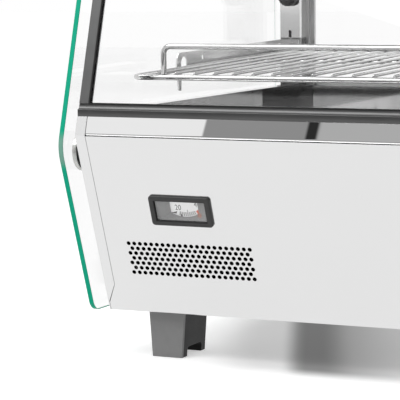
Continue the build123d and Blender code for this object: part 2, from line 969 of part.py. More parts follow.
def shelf(front, rise, cross):
    """A wire shelf: rim, rungs on top of it, and a cross wire below the rungs."""
    rear = well_rear - post_depth - bracket_sheet - shelf_rear_clearance - rim_radius
    x_rim = half - shelf_end_inset - rim_radius
    tilt = Plane(
        origin=(0, front, shelf_z(front, rise)),
        x_dir=(1, 0, 0),
        z_dir=(0, -sin(radians(shelf_tilt)), cos(radians(shelf_tilt))),
    )
    depth = (rear - front) / cos(radians(shelf_tilt))
    corners = [(0, 0, 0), (x_rim, 0, 0), (x_rim, depth, 0), (0, depth, 0)]
    half_rim = bent([corners[0], corners[1], corners[2], corners[3]], rim_corner)
    section = Plane((0, 0, 0), x_dir=(0, 0, 1), z_dir=(1, 0, 0)) * RegularPolygon(rim_radius, small_sides)
    right_rim = sweep(section, path=half_rim, transition=Transition.RIGHT)
    grid = right_rim + mirrored(right_rim)
    wire = Plane((-x_rim, cross, rim_radius - cross_wire_radius), x_dir=(0, 0, 1), z_dir=(1, 0, 0))
    grid += extrude(wire * RegularPolygon(cross_wire_radius, tiny_sides), 2 * x_rim)
    first = half - rung_end_inset
    lift = rim_radius + rung_radius - weld_sink
    length = depth + 2 * rung_overhang - rim_radius
    rungs = []
    for index in range(rung_count):
        x = -first + index * 2 * first / (rung_count - 1)
        end = Plane((x, (depth - length) / 2, lift), x_dir=(0, 0, 1), z_dir=(0, 1, 0))
        rungs.append(extrude(end * RegularPolygon(rung_radius, tiny_sides), length))
    return tilt * (grid + rungs)


def shelf_lip(front, rise):
    """The bent wire that stands along a shelf's front edge."""
    x = half - lip_end_inset
    low = shelf_z(front, rise) + rim_radius
    high = shelf_z(front, rise) + lip_height
    points = [(-x, front, low), (-x, front, high), (x, front, high), (x, front, low)]
    section = Plane((-x, front, low), z_dir=(0, 0, 1)) * disc(lip_radius)
    return sweep(section, path=bent(points, lip_bend), transition=Transition.RIGHT)


def rear_upright():
    """The left rear upright: a tube on a small foot plate, with a jamb for the doors."""
    x_from = -half + rear_upright_inset
    x_to = x_from + rear_upright_width
    y_from = rear_face - rear_frame_inset - rear_upright_depth
    y_to = y_from + rear_upright_depth
    low = base_top + rear_foot_height
    wall = rear_upright_wall
    tube = block(x_from, x_to, y_from, y_to, low, canopy_base)
    tube -= block(x_from + wall, x_to - wall, y_from + wall, y_to - wall, low, canopy_base)
    stud_x = -half + well_side_inset + post_width / 2
    tube -= rod((stud_x, y_from - 1, knob_height_z), (0, 1, 0), knob_stud_radius, wall + 2)
    foot_plate = block(x_from, x_from + rear_foot_width, y_from, y_to, base_top, low)
    jamb_top = canopy_base - top_track_height + 2
    jamb = block(x_to, x_to + jamb_width, jamb_front, jamb_front + jamb_thickness, low, jamb_top)
    return tube + foot_plate + jamb


def track_section(z_floor, z_ribs):
    """Three ribs with a groove for each sliding door between them."""
    inner = inner_door_front - track_clearance
    outer = outer_door_front - track_clearance
    groove_width = door_glass_thickness + 2 * track_clearance
    ribs = [
        (inner - track_rib, inner),
        (inner + groove_width, outer),
        (outer + groove_width, outer + groove_width + track_rib),
    ]
    return ribs, z_floor, z_ribs


def door_tracks():
    """The bottom and top tracks of the sliding doors."""
    jamb_x = half - rear_upright_inset - rear_upright_width
    bottom_x = half - rear_upright_inset - rear_foot_width - edge_gap
    ribs, floor, crest = track_section(base_top + track_floor, base_top + bottom_track_height)
    bottom = block(-bottom_x, bottom_x, ribs[0][0], ribs[-1][1], base_top, floor)
    for y_from, y_to in ribs:
        bottom += block(-bottom_x, bottom_x, y_from, y_to, floor, crest)
    save("door_track_bottom", bottom)
    low = canopy_base - top_track_height + track_mouth
    ribs, roof, crest = track_section(canopy_base - top_track_cover, low)
    top = block(-jamb_x, jamb_x, ribs[0][0], ribs[-1][1], roof, canopy_base)
    for y_from, y_to in ribs:
        top += block(-jamb_x, jamb_x, y_from, y_to, crest, roof)
    save("door_track_top", top)


def door(side, front):
    """A sliding pane (side -1 is left) and the cup grip set through it."""
    edge = half - rear_upright_inset - rear_upright_width - door_end_gap
    low = base_top + track_floor + seat_gap
    high = canopy_base - top_track_height + track_mouth + top_track_grip
    x_far = side * edge
    x_near = -side * door_lap
    back = front + door_glass_thickness
    pane = block(min(x_far, x_near), max(x_far, x_near), front, back, low, high)
    centre_x = side * (edge - grip_inset)
    pane -= rod((centre_x, front - 1, grip_height_z), (0, 1, 0), grip_radius, door_glass_thickness + 2)
    thin = grip_flange_thickness
    cup = rod((centre_x, front, grip_height_z), (0, 1, 0), grip_radius, door_glass_thickness)
    cup += rod((centre_x, back, grip_height_z), (0, 1, 0), grip_radius + grip_flange, thin)
    hollow = grip_radius - grip_wall
    cup -= rod((centre_x, front + thin, grip_height_z), (0, 1, 0), hollow, door_glass_thickness + thin)
    return pane, cup


def roof():
    """Canopy, liner, reflector, lamp tube and lamp holders."""
    front_low = (frame_y(canopy_base), canopy_base)
    path = [
        (front_low[0] + canopy_lap, canopy_base),
        front_low,
        (frame_y(canopy_top), canopy_top),
        (rear_face, canopy_top),
        (rear_face, canopy_base),
        (rear_face - canopy_lap, canopy_base),
    ]
    shell = folded(path, sheet, -half, half)
    end_outline = [path[1], path[2], path[3], path[4]]
    end = bar(end_outline, -half, -inner_half)
    roof_z = canopy_base + canopy_height / 2
    for y, z in standoff_places():
        if z == roof_z:
            end -= rod((-half - 1, y, z), (1, 0, 0), standoff_stud_radius + bolt_clearance, sheet + 2)
    save("roof_canopy", shell + end + mirrored(end))

    low = canopy_base + sheet
    mouth = reflector_half_length
    liner = block(
        -inner_half + edge_gap,
        inner_half - edge_gap,
        frame_y(low, sheet) + liner_gap + sheet,
        rear_face - sheet - liner_gap,
        low,
        low + sheet,
    )
    reflector_rear = reflector_front + reflector_mouth
    liner -= block(-mouth, mouth, reflector_front, reflector_rear, low - 1, low + sheet + 1)
    save("roof_liner", liner)
    shift = (reflector_mouth - reflector_top) / 2
    trough = folded(
        [
            (reflector_front - reflector_rim, low + 2 * sheet),
            (reflector_front, low + 2 * sheet),
            (reflector_front + shift, low + reflector_height),
            (reflector_front + shift + reflector_top, low + reflector_height),
            (reflector_rear, low + 2 * sheet),
            (reflector_rear + reflector_rim, low + 2 * sheet),
        ],
        sheet,
        -mouth,
        mouth,
    )
    save("lamp_reflector", trough)
    lamp_y = reflector_front + reflector_mouth / 2
    lamp_z = low + reflector_height - lamp_drop
    tube = rod((-lamp_half_length, lamp_y, lamp_z), (1, 0, 0), lamp_radius, 2 * lamp_half_length)
    save("lamp_tube", tube)
    holder = block(
        -lamp_half_length - holder_width,
        -lamp_half_length,
        lamp_y - lamp_radius - holder_margin,
        lamp_y + lamp_radius + holder_margin,
        lamp_z - lamp_radius - holder_margin,
        low + reflector_height - sheet,
    )
    save("lamp_holders", holder, mirrored(holder))


def thermostat():
    """The thermostat behind the rear panel, with its shaft and knob."""
    reach = thermostat_size / 2
    face = rear_face - sheet
    body = block(
        thermostat_x - reach,
        thermostat_x + reach,
        face - thermostat_depth,
        face,
        control_height_z - reach,
        control_height_z + reach,
    )
    body += rod((thermostat_x, face, control_height_z), (0, 1, 0), shaft_radius, sheet + shaft_length)
    save("thermostat_body", body)
    face = (thermostat_x, rear_face + control_knob_gap, control_height_z)
    plane = Plane(face, x_dir=(1, 0, 0), z_dir=(0, 1, 0))
    grip = disc(control_grip_radius)
    ridge = Rectangle(control_ridge_width, control_ridge_length)
    knob = extrude(disc(control_knob_radius), control_knob_skirt * 2)
    knob += extrude(grip, control_grip_length)
    knob += extrude(ridge, control_knob_length)
    knob -= extrude(Circle(shaft_radius + shaft_clearance), shaft_length)
    save("thermostat_knob", plane * knob)


def switches():
    """Two rocker switches beside the thermostat."""
    housings = []
    names = ("power_rocker", "lamp_rocker")
    for index, name in enumerate(names):
        x = switch_x - index * switch_pitch
        plane = Plane((x, rear_face, control_height_z), x_dir=(-1, 0, 0), z_dir=(0, 1, 0))
        rim = extrude(Rectangle(switch_width, switch_height), switch_rim)
        well_width = switch_width - 2 * switch_rim - edge_gap
        well_height = switch_height - 2 * switch_rim - edge_gap
        root = Rectangle(well_width, well_height)
        housing = rim + extrude(root, -switch_depth)
        mouth = Rectangle(rocker_width + 2 * rocker_gap, 2 * (rocker_half_height + rocker_gap + 0.5))
        depth = rocker_root + rocker_gap
        housing -= Pos(0, 0, -depth) * extrude(mouth, depth + switch_rim)
        housings.append(plane * housing)
        profile = Polyline(
            (-rocker_half_height, -rocker_root / 3),
            (-rocker_half_height, rocker_rise),
            (0, rocker_dip),
            (rocker_half_height, rocker_rise),
            (rocker_half_height, -rocker_root / 3),
            (rocker_half_height / 3, -rocker_root),
            (-rocker_half_height / 3, -rocker_root),
            close=True,
        )
        section = Plane((0, 0, 0), x_dir=(0, 1, 0), z_dir=(1, 0, 0)) * make_face(profile)
        rocker = extrude(section, rocker_width / 2, both=True)
        save(name, plane * rocker)
    save("switch_housings", *housings)


def cable_gland():
    """The supply cable's gland in the rear panel, with its bore left free."""
    start = (gland_x, rear_face, gland_height_z)
    nut = extrude(Plane(start, z_dir=(0, 1, 0)) * RegularPolygon(gland_radius, 6), gland_nut)
    barrel = rod(start, (0, 1, 0), gland_barrel_radius, gland_length)
    tail = rod(start, (0, -1, 0), gland_tail_radius, gland_tail)
    ring = rod((gland_x, rear_face - sheet, gland_height_z), (0, -1, 0), gland_radius, gland_ring)
    bore_start = (gland_x, rear_face - gland_tail - 1, gland_height_z)
    bore = true_rod(bore_start, (0, 1, 0), gland_bore, gland_tail + gland_length + 2)
    return nut + barrel + tail + ring - bore


def heating_element():
    """A tubular element that snakes to and fro under the deck plate."""
    z = deck_under - element_radius - element_gap
    points = []
    for index in range(element_passes):
        y = element_front + index * element_pitch
        ends = (-element_reach, element_reach) if index % 2 else (element_reach, -element_reach)
        points += [(x, y, z) for x in ends]
    start = Plane(points[0], x_dir=(0, 0, 1), z_dir=(-1, 0, 0))
    section = start * RegularPolygon(element_radius, tiny_sides)
    return sweep(section, path=bent(points, element_bend), transition=Transition.RIGHT)


def terminal_block():
    """The supply terminals on the bottom plate, with a wire hole for each pole."""
    x = gland_x + terminal_from_gland
    y = rear_face - terminal_from_gland
    low = foot_height + sheet
    body = block(x, x + terminal_length, y, y + terminal_width, low, low + terminal_step)
    top_from = y + terminal_ledge
    top_to = y + terminal_width - terminal_ledge
    body += block(x, x + terminal_length, top_from, top_to, low, low + terminal_height)
    for index in range(terminal_poles):
        hole = terminal_length * (index + 0.5) / terminal_poles
        start = (x + hole, y + terminal_width / 2, low + 2)
        body -= rod(start, (0, 0, 1), terminal_hole_radius, terminal_height)
    return body


left_end = end_panel()
save("side_panel_left", left_end)
save("side_panel_right", mirrored(left_end))
save("front_panel", front_panel())
save("front_band", front_band())
save("bottom_plate", bottom_plate())
save("rear_panel", rear_panel())
well()
front_frame()
left_glass = side_glass()
save("side_glass_left", left_glass)
save("side_glass_right", mirrored(left_glass))
standoffs()
left_rear = rear_upright()
save("rear_upright_left", left_rear)
save("rear_upright_right", mirrored(left_rear))
door_tracks()
left_pane, left_grip = door(-1, inner_door_front)
right_pane, right_grip = door(1, outer_door_front)
save("door_glass_left", left_pane)
save("door_grip_left", left_grip)
save("door_glass_right", right_pane)
save("door_grip_right", right_grip)
roof()
left_post = shelf_post()
save("shelf_post_left", left_post)
save("shelf_post_right", mirrored(left_post))
left_screw = clamp_screw()
save("post_clamp_screws", left_screw, mirrored(left_screw))
lower_bracket = bracket(lower_bracket_tip, 0.0)
save("bracket_lower_left", lower_bracket)
save("bracket_lower_right", mirrored(lower_bracket))
upper_bracket = bracket(upper_bracket_tip, upper_shelf_rise)
save("brackets_upper", upper_bracket, mirrored(upper_bracket))
save("shelf_lower", shelf(shelf_front, 0.0, lower_cross_wire))
save("shelf_lower_lip", shelf_lip(shelf_front, 0.0))
upper_front_y = shelf_front + upper_shelf_setback
save("shelf_upper", shelf(upper_front_y, upper_shelf_rise, upper_cross_wire))
save("shelf_upper_lip", shelf_lip(upper_front_y, upper_shelf_rise))
thermometer()
save("thermometer_bulb", thermometer_bulb())
feet()
thermostat()
switches()
save("cable_gland", cable_gland())
save("heating_element", heating_element())
save("terminal_block", terminal_block())

for name, shape in pieces.items():
    export_step(Pos(0, -depth_centre, 0) * shape, f"parts/{name}.step")
print(len(pieces), "nodes; centre of the footprint is", round(depth_centre, 3), "mm behind the fold")
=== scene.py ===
"""Heated counter display case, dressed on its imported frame.

Each section is one piece or group of like pieces: what it is, its sizes, its mesh and its
finish. Lengths are in metres, with the part's own axes: x to the right along the front,
y from the glazed front to the sliding doors, z up from the table.
"""
import json

import bmesh
import bpy
import numpy as np
from mathutils import Matrix, Vector
from mathutils.geometry import delaunay_2d_cdt

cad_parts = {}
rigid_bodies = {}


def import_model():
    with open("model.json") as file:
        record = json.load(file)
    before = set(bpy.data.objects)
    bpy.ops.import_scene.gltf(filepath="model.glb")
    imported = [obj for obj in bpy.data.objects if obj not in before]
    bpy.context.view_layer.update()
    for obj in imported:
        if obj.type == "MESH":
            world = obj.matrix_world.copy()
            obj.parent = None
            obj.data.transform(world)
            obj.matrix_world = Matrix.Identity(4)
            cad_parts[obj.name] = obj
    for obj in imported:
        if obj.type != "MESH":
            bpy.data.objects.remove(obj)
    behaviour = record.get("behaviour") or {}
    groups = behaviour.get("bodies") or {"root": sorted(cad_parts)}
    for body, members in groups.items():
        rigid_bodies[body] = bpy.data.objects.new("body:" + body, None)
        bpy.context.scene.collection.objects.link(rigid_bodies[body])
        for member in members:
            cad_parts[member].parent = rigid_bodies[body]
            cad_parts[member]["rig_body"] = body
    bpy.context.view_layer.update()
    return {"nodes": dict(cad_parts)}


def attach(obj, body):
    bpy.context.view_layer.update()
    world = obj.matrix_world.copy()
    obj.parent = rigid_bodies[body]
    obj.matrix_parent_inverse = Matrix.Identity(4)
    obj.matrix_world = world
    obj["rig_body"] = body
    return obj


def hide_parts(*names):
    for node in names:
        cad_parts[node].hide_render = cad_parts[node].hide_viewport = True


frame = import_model()
rightward, rearward, upward = np.eye(3)


def placed(name, data):
    """A new object in the scene, which carries a mesh, a text, a camera or a lamp."""
    made = bpy.data.objects.new(name, data)
    bpy.context.scene.collection.objects.link(made)
    return made


# The camera: a long lens about two metres off, to the right of the case and a little above its
# deck, that looks at the lower left front corner.
camera_place = Vector((0.59709, -1.946931, 0.37439))
camera_yaw = np.radians(25.336)
camera_pitch = np.radians(6.433)
camera_roll = np.radians(0.549)
focal_pixels = 2057.33
frame_pixels = 400.0
sensor_width = 36.0

ahead = Vector((
    -np.sin(camera_yaw) * np.cos(camera_pitch),
    np.cos(camera_yaw) * np.cos(camera_pitch),
    -np.sin(camera_pitch),
))
level_right = Vector((np.cos(camera_yaw), np.sin(camera_yaw), 0.0))
level_down = ahead.cross(level_right)
camera_right = level_right * np.cos(camera_roll) + level_down * np.sin(camera_roll)
camera_up = level_right * np.sin(camera_roll) - level_down * np.cos(camera_roll)
lens = bpy.data.cameras.new("camera")
lens.sensor_width = sensor_width
lens.lens = focal_pixels * sensor_width / frame_pixels
lens.clip_start = 0.05
lens.clip_end = 60.0
camera = placed("camera", lens)
turn = Matrix((camera_right, camera_up, -ahead)).transposed().to_4x4()
camera.matrix_world = Matrix.Translation(camera_place) @ turn
bpy.context.scene.camera = camera


# Inclined front of the base: one blank of 1.2 mm satin stainless sheet, punched with a
# staggered field of round vents, cut out for the thermometer and folded under at the bottom.
class Value:
    """A socket in a node tree. Python's operators on it add Math nodes."""

    def __init__(self, nodes, socket):
        self.nodes = nodes
        self.socket = socket

    def math(self, operation, *others):
        return self.nodes.math(operation, self, *others)

    def __add__(self, other):
        return self.math("ADD", other)

    __radd__ = __add__

    def __sub__(self, other):
        return self.math("SUBTRACT", other)

    def __rsub__(self, other):
        return self.nodes.math("SUBTRACT", other, self)

    def __mul__(self, other):
        return self.math("MULTIPLY", other)

    __rmul__ = __mul__

    def __truediv__(self, other):
        return self.math("DIVIDE", other)

    def rise(self, low, high):
        """Goes smoothly from 0 at low to 1 at high."""
        settings = {"interpolation_type": "SMOOTHSTEP"}
        return self.nodes.node(
            "ShaderNodeMapRange", settings, {"Value": self, "From Min": low, "From Max": high}
        )

    def within(self, low, high, soft):
        """1 between low and high and 0 outside, over a soft edge."""
        return self.rise(low - soft, low + soft) * (1 - self.rise(high - soft, high + soft))


class Nodes:
    """A node tree and the one way in which its nodes are made."""

    def __init__(self, tree):
        self.tree = tree

    def node(self, kind, settings=None, sockets=None, output=0):
        """Any node: its type, its settings, which are set first, and its sockets."""
        made = self.tree.nodes.new(kind)
        for name, value in (settings or {}).items():
            setattr(made, name, value)
        for name, value in (sockets or {}).items():
            if isinstance(value, Value):
                self.tree.links.new(value.socket, made.inputs[name])
            else:
                made.inputs[name].default_value = value
        return Value(self, made.outputs[output])

    def math(self, operation, *terms):
        return self.node("ShaderNodeMath", {"operation": operation}, dict(enumerate(terms)))

    def ray(self, kind):
        """1 for the rays of that kind, which is a word such as Camera, and 0 for all others."""
        return self.node("ShaderNodeLightPath", output="Is " + kind + " Ray")

    def colour(self, share, first, second):
        """A colour between first, where share is 0, and second, where it is 1. A number is the
        level of a grey."""
        tones = [(*[tone] * 3, 1.0) if isinstance(tone, float) else tone for tone in (first, second)]
        sockets = {0: share, 6: tones[0], 7: tones[1]}
        return self.node("ShaderNodeMix", {"data_type": "RGBA"}, sockets, output=2)


class Finish(Nodes):
    """A material: a Principled shader with its constant values, and the nodes that feed it."""

    def __init__(self, name, sockets):
        self.material = bpy.data.materials.new(name)
        self.material.use_nodes = True
        super().__init__(self.material.node_tree)
        self.shader = self.tree.nodes["Principled BSDF"]
        for socket, value in sockets.items():
            self.shader.inputs[socket].default_value = value

    def along(self, direction, start=(0.0, 0.0, 0.0)):
        """Distance in metres along direction, counted from start."""
        where = self.node("ShaderNodeTexCoord", output="Object")
        sockets = {0: where, 1: tuple(start)}
        moved = self.node("ShaderNodeVectorMath", {"operation": "SUBTRACT"}, sockets)
        sockets = {0: moved, 1: tuple(direction)}
        return self.node("ShaderNodeVectorMath", {"operation": "DOT_PRODUCT"}, sockets, output="Value")

    def noise(self, scale, detail=3.0, seed=0.0):
        """Cloudy noise with features 1/scale metres long, by one scale or by one for each axis."""
        where = self.node("ShaderNodeTexCoord", output="Object")
        sockets = {0: where, 1: tuple(np.broadcast_to(scale, 3).tolist())}
        where = self.node("ShaderNodeVectorMath", {"operation": "MULTIPLY"}, sockets)
        sockets = {0: where, 1: (seed, seed, seed)}
        where = self.node("ShaderNodeVectorMath", {"operation": "ADD"}, sockets)
        return self.node("ShaderNodeTexNoise", None, {"Vector": where, "Scale": 1.0, "Detail": detail})

    def feed(self, socket, value):
        self.tree.links.new(value.socket, self.shader.inputs[socket])

    def mottle(self, cloud, first, second, smooth, spread):
        """Makes the tone go from first to second, and the roughness from smooth up by spread, as
        the cloud goes from 0 to 1."""
        self.feed("Base Color", self.colour(cloud, first, second))
        self.feed("Roughness", smooth + spread * cloud)

    def relief(self, height, distance):
        """Bumps the normal by height, which counts distance metres from 0 to 1."""
        sockets = {"Height": height, "Distance": distance}
        self.feed("Normal", self.node("ShaderNodeBump", None, sockets))


def clouded(name, sockets, scale, tones, smooth, spread, detail=3.0):
    """A finish whose tone and roughness both follow one cloudy noise."""
    made = Finish(name, sockets)
    made.mottle(made.noise(scale, detail), *tones, smooth, spread)
    return made


satin_sheet = Finish("satin_stainless_sheet", {"Metallic": 1.0})
sheet_cloud = satin_sheet.noise(5.0)
sheet_grain = satin_sheet.noise((20.0, 700.0, 700.0), detail=2.0)
sheet_wipe = satin_sheet.noise((26.0, 40.0, 8.0), detail=5.0, seed=4.0)
sheet_tone = satin_sheet.colour(0.6 * sheet_cloud + 0.4 * sheet_wipe, 0.79, 0.82)
satin_sheet.feed("Base Color", sheet_tone)
satin_sheet.feed("Roughness", 0.16 + 0.03 * sheet_grain + 0.03 * sheet_wipe)
satin_sheet.relief(sheet_grain, 0.0000006)

case_half = 0.330
case_depth = 0.510
fold_y = -0.261381
fold_z = 0.2198
lower_tilt = np.radians(20.5)
table_gap = 0.045
sheet = 0.0012
slope_length = (fold_z - table_gap) / np.cos(lower_tilt)
bend_radius = 0.0022
bend_turn = np.pi / 2 - lower_tilt
bend_start = slope_length - bend_radius * np.tan(bend_turn / 2)
bend_run = bend_radius * bend_turn
flange_run = 0.018 - bend_radius * np.tan(bend_turn / 2)
vent_radius = 0.0021
vent_pitch = 0.006
vent_first = (0.0349, 0.112)
vent_columns = 22
vent_rows = 7
vent_sides = 20


def shown(name, points, faces, finish, slot, stands_for, sharp=35.0):
    """Makes a mesh of points and faces a piece that stands for CAD nodes and rides as they do.

    Doubled points are merged, and the faces of a closed shape are turned outwards. Edges
    sharper than that many degrees stay crisp.
    """
    mesh = bpy.data.meshes.new(name)
    mesh.from_pydata(np.asarray(points).reshape(-1, 3).tolist(), [], [list(face) for face in faces])
    shape = bmesh.new()
    shape.from_mesh(mesh)
    bmesh.ops.remove_doubles(shape, verts=shape.verts, dist=0.000001)
    if all(edge.is_manifold for edge in shape.edges):
        bmesh.ops.recalc_face_normals(shape, faces=shape.faces)
    shape.to_mesh(mesh)
    shape.free()
    mesh.shade_smooth()
    mesh.set_sharp_from_angle(angle=np.radians(sharp))
    mesh.materials.append(finish.material)
    made = placed(name, mesh)
    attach(made, frame["nodes"][stands_for[0]]["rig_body"])
    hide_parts(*stands_for)
    return made


def folded_under(x, run, depth):
    """Places points of the flat blank on the folded sheet, that far under its outer face.

    The run goes straight down the slope, round the bend, whose heading turns from the slope's
    to level by run over radius, and then level to the rear. The face's normal is the heading
    turned a quarter, and the depth is counted against it.
    """
    straight = np.clip(run, 0, bend_start)
    turned_by = np.clip((run - bend_start) / bend_radius, 0, bend_turn)
    level = np.clip(run - bend_start - bend_run, 0, None)
    heading = turned_by - bend_turn
    y = fold_y + straight * np.sin(lower_tilt) + level
    y = y + bend_radius * (np.sin(heading) + np.sin(bend_turn))
    z = fold_z - straight * np.cos(lower_tilt) + bend_radius * (np.cos(bend_turn) - np.cos(heading))
    return np.stack([x - case_half, y - depth * np.sin(heading), z + depth * np.cos(heading)], axis=-1)


def walled(outer, inner, faces):
    """Closes two skins of the same faces: the inner one turned round, and a wall along each
    free edge, which is an edge with no twin that runs the other way."""
    count = len(outer)
    sides = np.stack([faces, np.roll(faces, -1, axis=1)], axis=-1).reshape(-1, 2)
    free = sides[~np.isin(sides @ [count, 1], sides @ [1, count])]
    wall = np.stack([free[:, 1], free[:, 0], free[:, 0] + count, free[:, 1] + count], axis=-1)
    skins = [*faces.tolist(), *(faces[:, ::-1] + count).tolist()]
    return np.concatenate([outer, inner]), [*skins, *wall.tolist()]


def vent_centres():
    """Centres of the vents on the blank: each row sits half a pitch over and sin 60 lower."""
    column, row = np.meshgrid(np.arange(vent_columns), np.arange(vent_rows))
    there = (row % 2 == 0) | (column < vent_columns - 1)
    x = vent_first[0] + (column + (row % 2) / 2) * vent_pitch
    run = vent_first[1] + row * vent_pitch * np.sin(np.pi / 3)
    return np.stack([x[there], run[there]], axis=-1)


def front_blank():
    """The blank's triangles, from a constrained triangulation of its outline, the thermometer's
    opening, the circles of the vents and level lines where the bend is."""
    width = 2 * case_half
    edge = 0.0109
    corner = 0.0016
    mitre_top = slope_length - 0.0285
    mitre_low = slope_length - 0.0081
    end = bend_start + bend_run + flange_run
    outline = np.array([
        (edge, 0.0006), (width - edge, 0.0006), (width - edge, mitre_top), (width - corner, mitre_low),
        (width - corner, end), (corner, end), (corner, mitre_low), (edge, mitre_top),
    ])
    opening = np.array([(0.0688, 0.0622), (0.1256, 0.0622), (0.1256, 0.0871), (0.0688, 0.0871)])
    angle = np.linspace(0, 2 * np.pi, vent_sides, endpoint=False)
    circle = vent_radius * np.stack([np.cos(angle), np.sin(angle)], axis=-1)
    vents = vent_centres()
    rings = [outline, opening, *(vents[:, None] + circle[None])]
    points = np.concatenate(rings)
    sizes = np.array([len(ring) for ring in rings])
    first = np.repeat(np.cumsum(sizes) - sizes, sizes)
    step = np.arange(len(points)) - first
    ahead_of = first + (step + 1) % np.repeat(sizes, sizes)
    edges = np.stack([np.arange(len(points)), ahead_of], axis=-1)
    levels = bend_start + bend_run * np.linspace(0, 1, 7)
    levels = np.concatenate([[bend_start - 0.0008], levels, [levels[-1] + 0.0008]])
    bend_points = np.stack([np.tile([corner, width - corner], 9), np.repeat(levels, 2)], axis=-1)
    bend_edges = len(points) + np.arange(18).reshape(9, 2)
    points = np.concatenate([points, bend_points])
    edges = np.concatenate([edges, bend_edges])
    found = delaunay_2d_cdt([Vector(p) for p in points.tolist()], edges.tolist(), [], 0, 1e-7)
    flat = np.array([tuple(p) for p in found[0]])
    triangles = np.array(found[2])
    middle = flat[triangles].mean(axis=1)
    reach = np.linalg.norm(middle[:, None] - vents[None], axis=-1).min(axis=1)
    in_opening = np.all((middle > opening[0]) & (middle < opening[2]), axis=-1)
    side = np.interp(middle[:, 1], [mitre_top, mitre_low], [edge, corner])
    inside = (middle[:, 0] > side) & (middle[:, 0] < width - side)
    kept = triangles[(reach > vent_radius) & ~in_opening & inside]
    used, kept = np.unique(kept[:, ::-1], return_inverse=True)
    x, run = flat[used].T
    return walled(folded_under(x, run, 0.0), folded_under(x, run, sheet), kept.reshape(-1, 3))


shown("front_sheet", *front_blank(), satin_sheet, "stainless_panel", ["front_panel"])


# Band over the fold: the same sheet, rolled under along its lower edge, so that a bright line
# shows over the dark joint, and folded level behind the sill.
band_sheet = clouded(
    "polished_stainless_band", {"Metallic": 1.0}, (8.0, 30.0, 30.0), (0.78, 0.82), 0.002, 0.008
)

upper_tilt = np.radians(17.0)
sill_base = 0.2376
sill_rear = fold_y + 0.024
band_half = 0.3189
roll_radius = 0.0015
shoulder_radius = 0.0003


def quads(rows, columns, around=False, along=False):
    """Faces of a grid of points. Around joins its last column to its first, along its rows."""
    row, column = np.indices((rows if along else rows - 1, columns if around else columns - 1))
    here = row * columns
    below = (row + 1) % rows * columns
    beside = (column + 1) % columns
    corners = (here + column, here + beside, below + beside, below + column)
    return np.stack(corners, axis=-1).reshape(-1, 4)


def upper_y(z, ahead_by=0.0):
    """Depth of the upper front's plane at height z, moved out by ahead_by."""
    return fold_y + (z - fold_z) * np.tan(upper_tilt) - ahead_by / np.cos(upper_tilt)


def arc(centre, radius, start, end, count):
    """Points (y, z) round a centre, from a start to an end angle in degrees."""
    angle = np.radians(np.linspace(start, end, count))
    return np.stack([centre[0] + radius * np.cos(angle), centre[1] + radius * np.sin(angle)], axis=-1)


def rolled_band():
    """The band's outer line: level shelf, bend, slope, and a half turn inwards at the bottom.

    The line is carried straight along x, so a point is (x, y(s), z(s)).
    """
    lean = np.degrees(upper_tilt)
    shoulder_z = sill_base - shoulder_radius
    shoulder = (upper_y(shoulder_z) + shoulder_radius / np.cos(upper_tilt), shoulder_z)
    roll_z = fold_z + 0.0017
    roll = (upper_y(roll_z) + roll_radius / np.cos(upper_tilt), roll_z)
    bend = arc(shoulder, shoulder_radius, 90, 180 - lean, 6)
    hem = arc(roll, roll_radius, 180 - lean, 350, 14)
    slope = bend[-1] + np.array([[0.006], [0.97]]) * (hem[0] - bend[-1])
    level = [(sill_rear, sill_base), (bend[0, 0] + 0.0008, sill_base)]
    line = np.concatenate([level, bend, slope, hem])
    heading = np.gradient(line, axis=0)
    heading = heading / np.linalg.norm(heading, axis=-1, keepdims=True)
    under = line + sheet * np.stack([-heading[:, 1], heading[:, 0]], axis=-1)
    skins = []
    for skin in (line, under):
        ends = [np.column_stack([np.full(len(skin), x), skin]) for x in (-band_half, band_half)]
        skins.append(np.stack(ends, axis=1).reshape(-1, 3))
    return walled(*skins, quads(len(line), 2))


shown("rolled_band", *rolled_band(), band_sheet, "stainless_panel", ["front_band"])


# End panels, rear panel, floor and roof: folded satin sheet like the front.
def dress(finish, *names):
    """Gives CAD nodes a finish in their material slots."""
    for name in names:
        for place in frame["nodes"][name].material_slots:
            place.material = finish.material


end_panels = ("side_panel_left", "side_panel_right")
dress(satin_sheet, *end_panels, "roof_canopy", "rear_panel", "bottom_plate", "roof_liner")


# Deck, the walls of its well and the lamp's reflector: bright annealed stainless, close to a
# mirror, with faint wipe marks and hairline scratches.
mirror_sheet = Finish("bright_annealed_stainless", {"Metallic": 1.0})
hairline = mirror_sheet.noise((6.0, 500.0, 500.0), detail=2.0)
smear = mirror_sheet.noise(14.0, detail=6.0, seed=2.0)
mirror_sheet.feed("Base Color", mirror_sheet.colour(smear, 0.50, 0.58))
mirror_sheet.feed("Roughness", 0.02 + 0.035 * smear + 0.015 * hairline)
well_walls = ("well_side_walls", "well_front_wall", "well_rear_wall")
dress(mirror_sheet, "deck_plate", *well_walls, "lamp_reflector")


# Shelf posts and brackets: 1.5 mm stainless, slotted and folded, polished, with softened edges.
# Their lower parts, below the deck's line and past the posts' inner faces, carry a painted
# reflection of the dark deck, and the posts a painted shade band just above the lower shelf.
def eased(width, finish, slot, *names, segments=2):
    """Copies of CAD nodes with doubles merged, flat faces joined and edges rounded."""
    for name in names:
        source = frame["nodes"][name]
        mesh = source.data.copy()
        shape = bmesh.new()
        shape.from_mesh(mesh)
        bmesh.ops.remove_doubles(shape, verts=shape.verts, dist=0.000001)
        parts = {"verts": shape.verts, "edges": shape.edges}
        bmesh.ops.dissolve_limit(shape, angle_limit=np.radians(1.0), **parts)
        shape.to_mesh(mesh)
        shape.free()
        mesh.materials.clear()
        mesh.materials.append(finish.material)
        made = placed(name + "_eased", mesh)
        bevel = made.modifiers.new("eased edges", "BEVEL")
        bevel.width = width
        bevel.segments = segments
        bevel.limit_method = "ANGLE"
        bevel.angle_limit = np.radians(40.0)
        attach(made, source["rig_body"])
        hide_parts(name)


post_inner = 0.2925
painted_reflection_below = 0.249


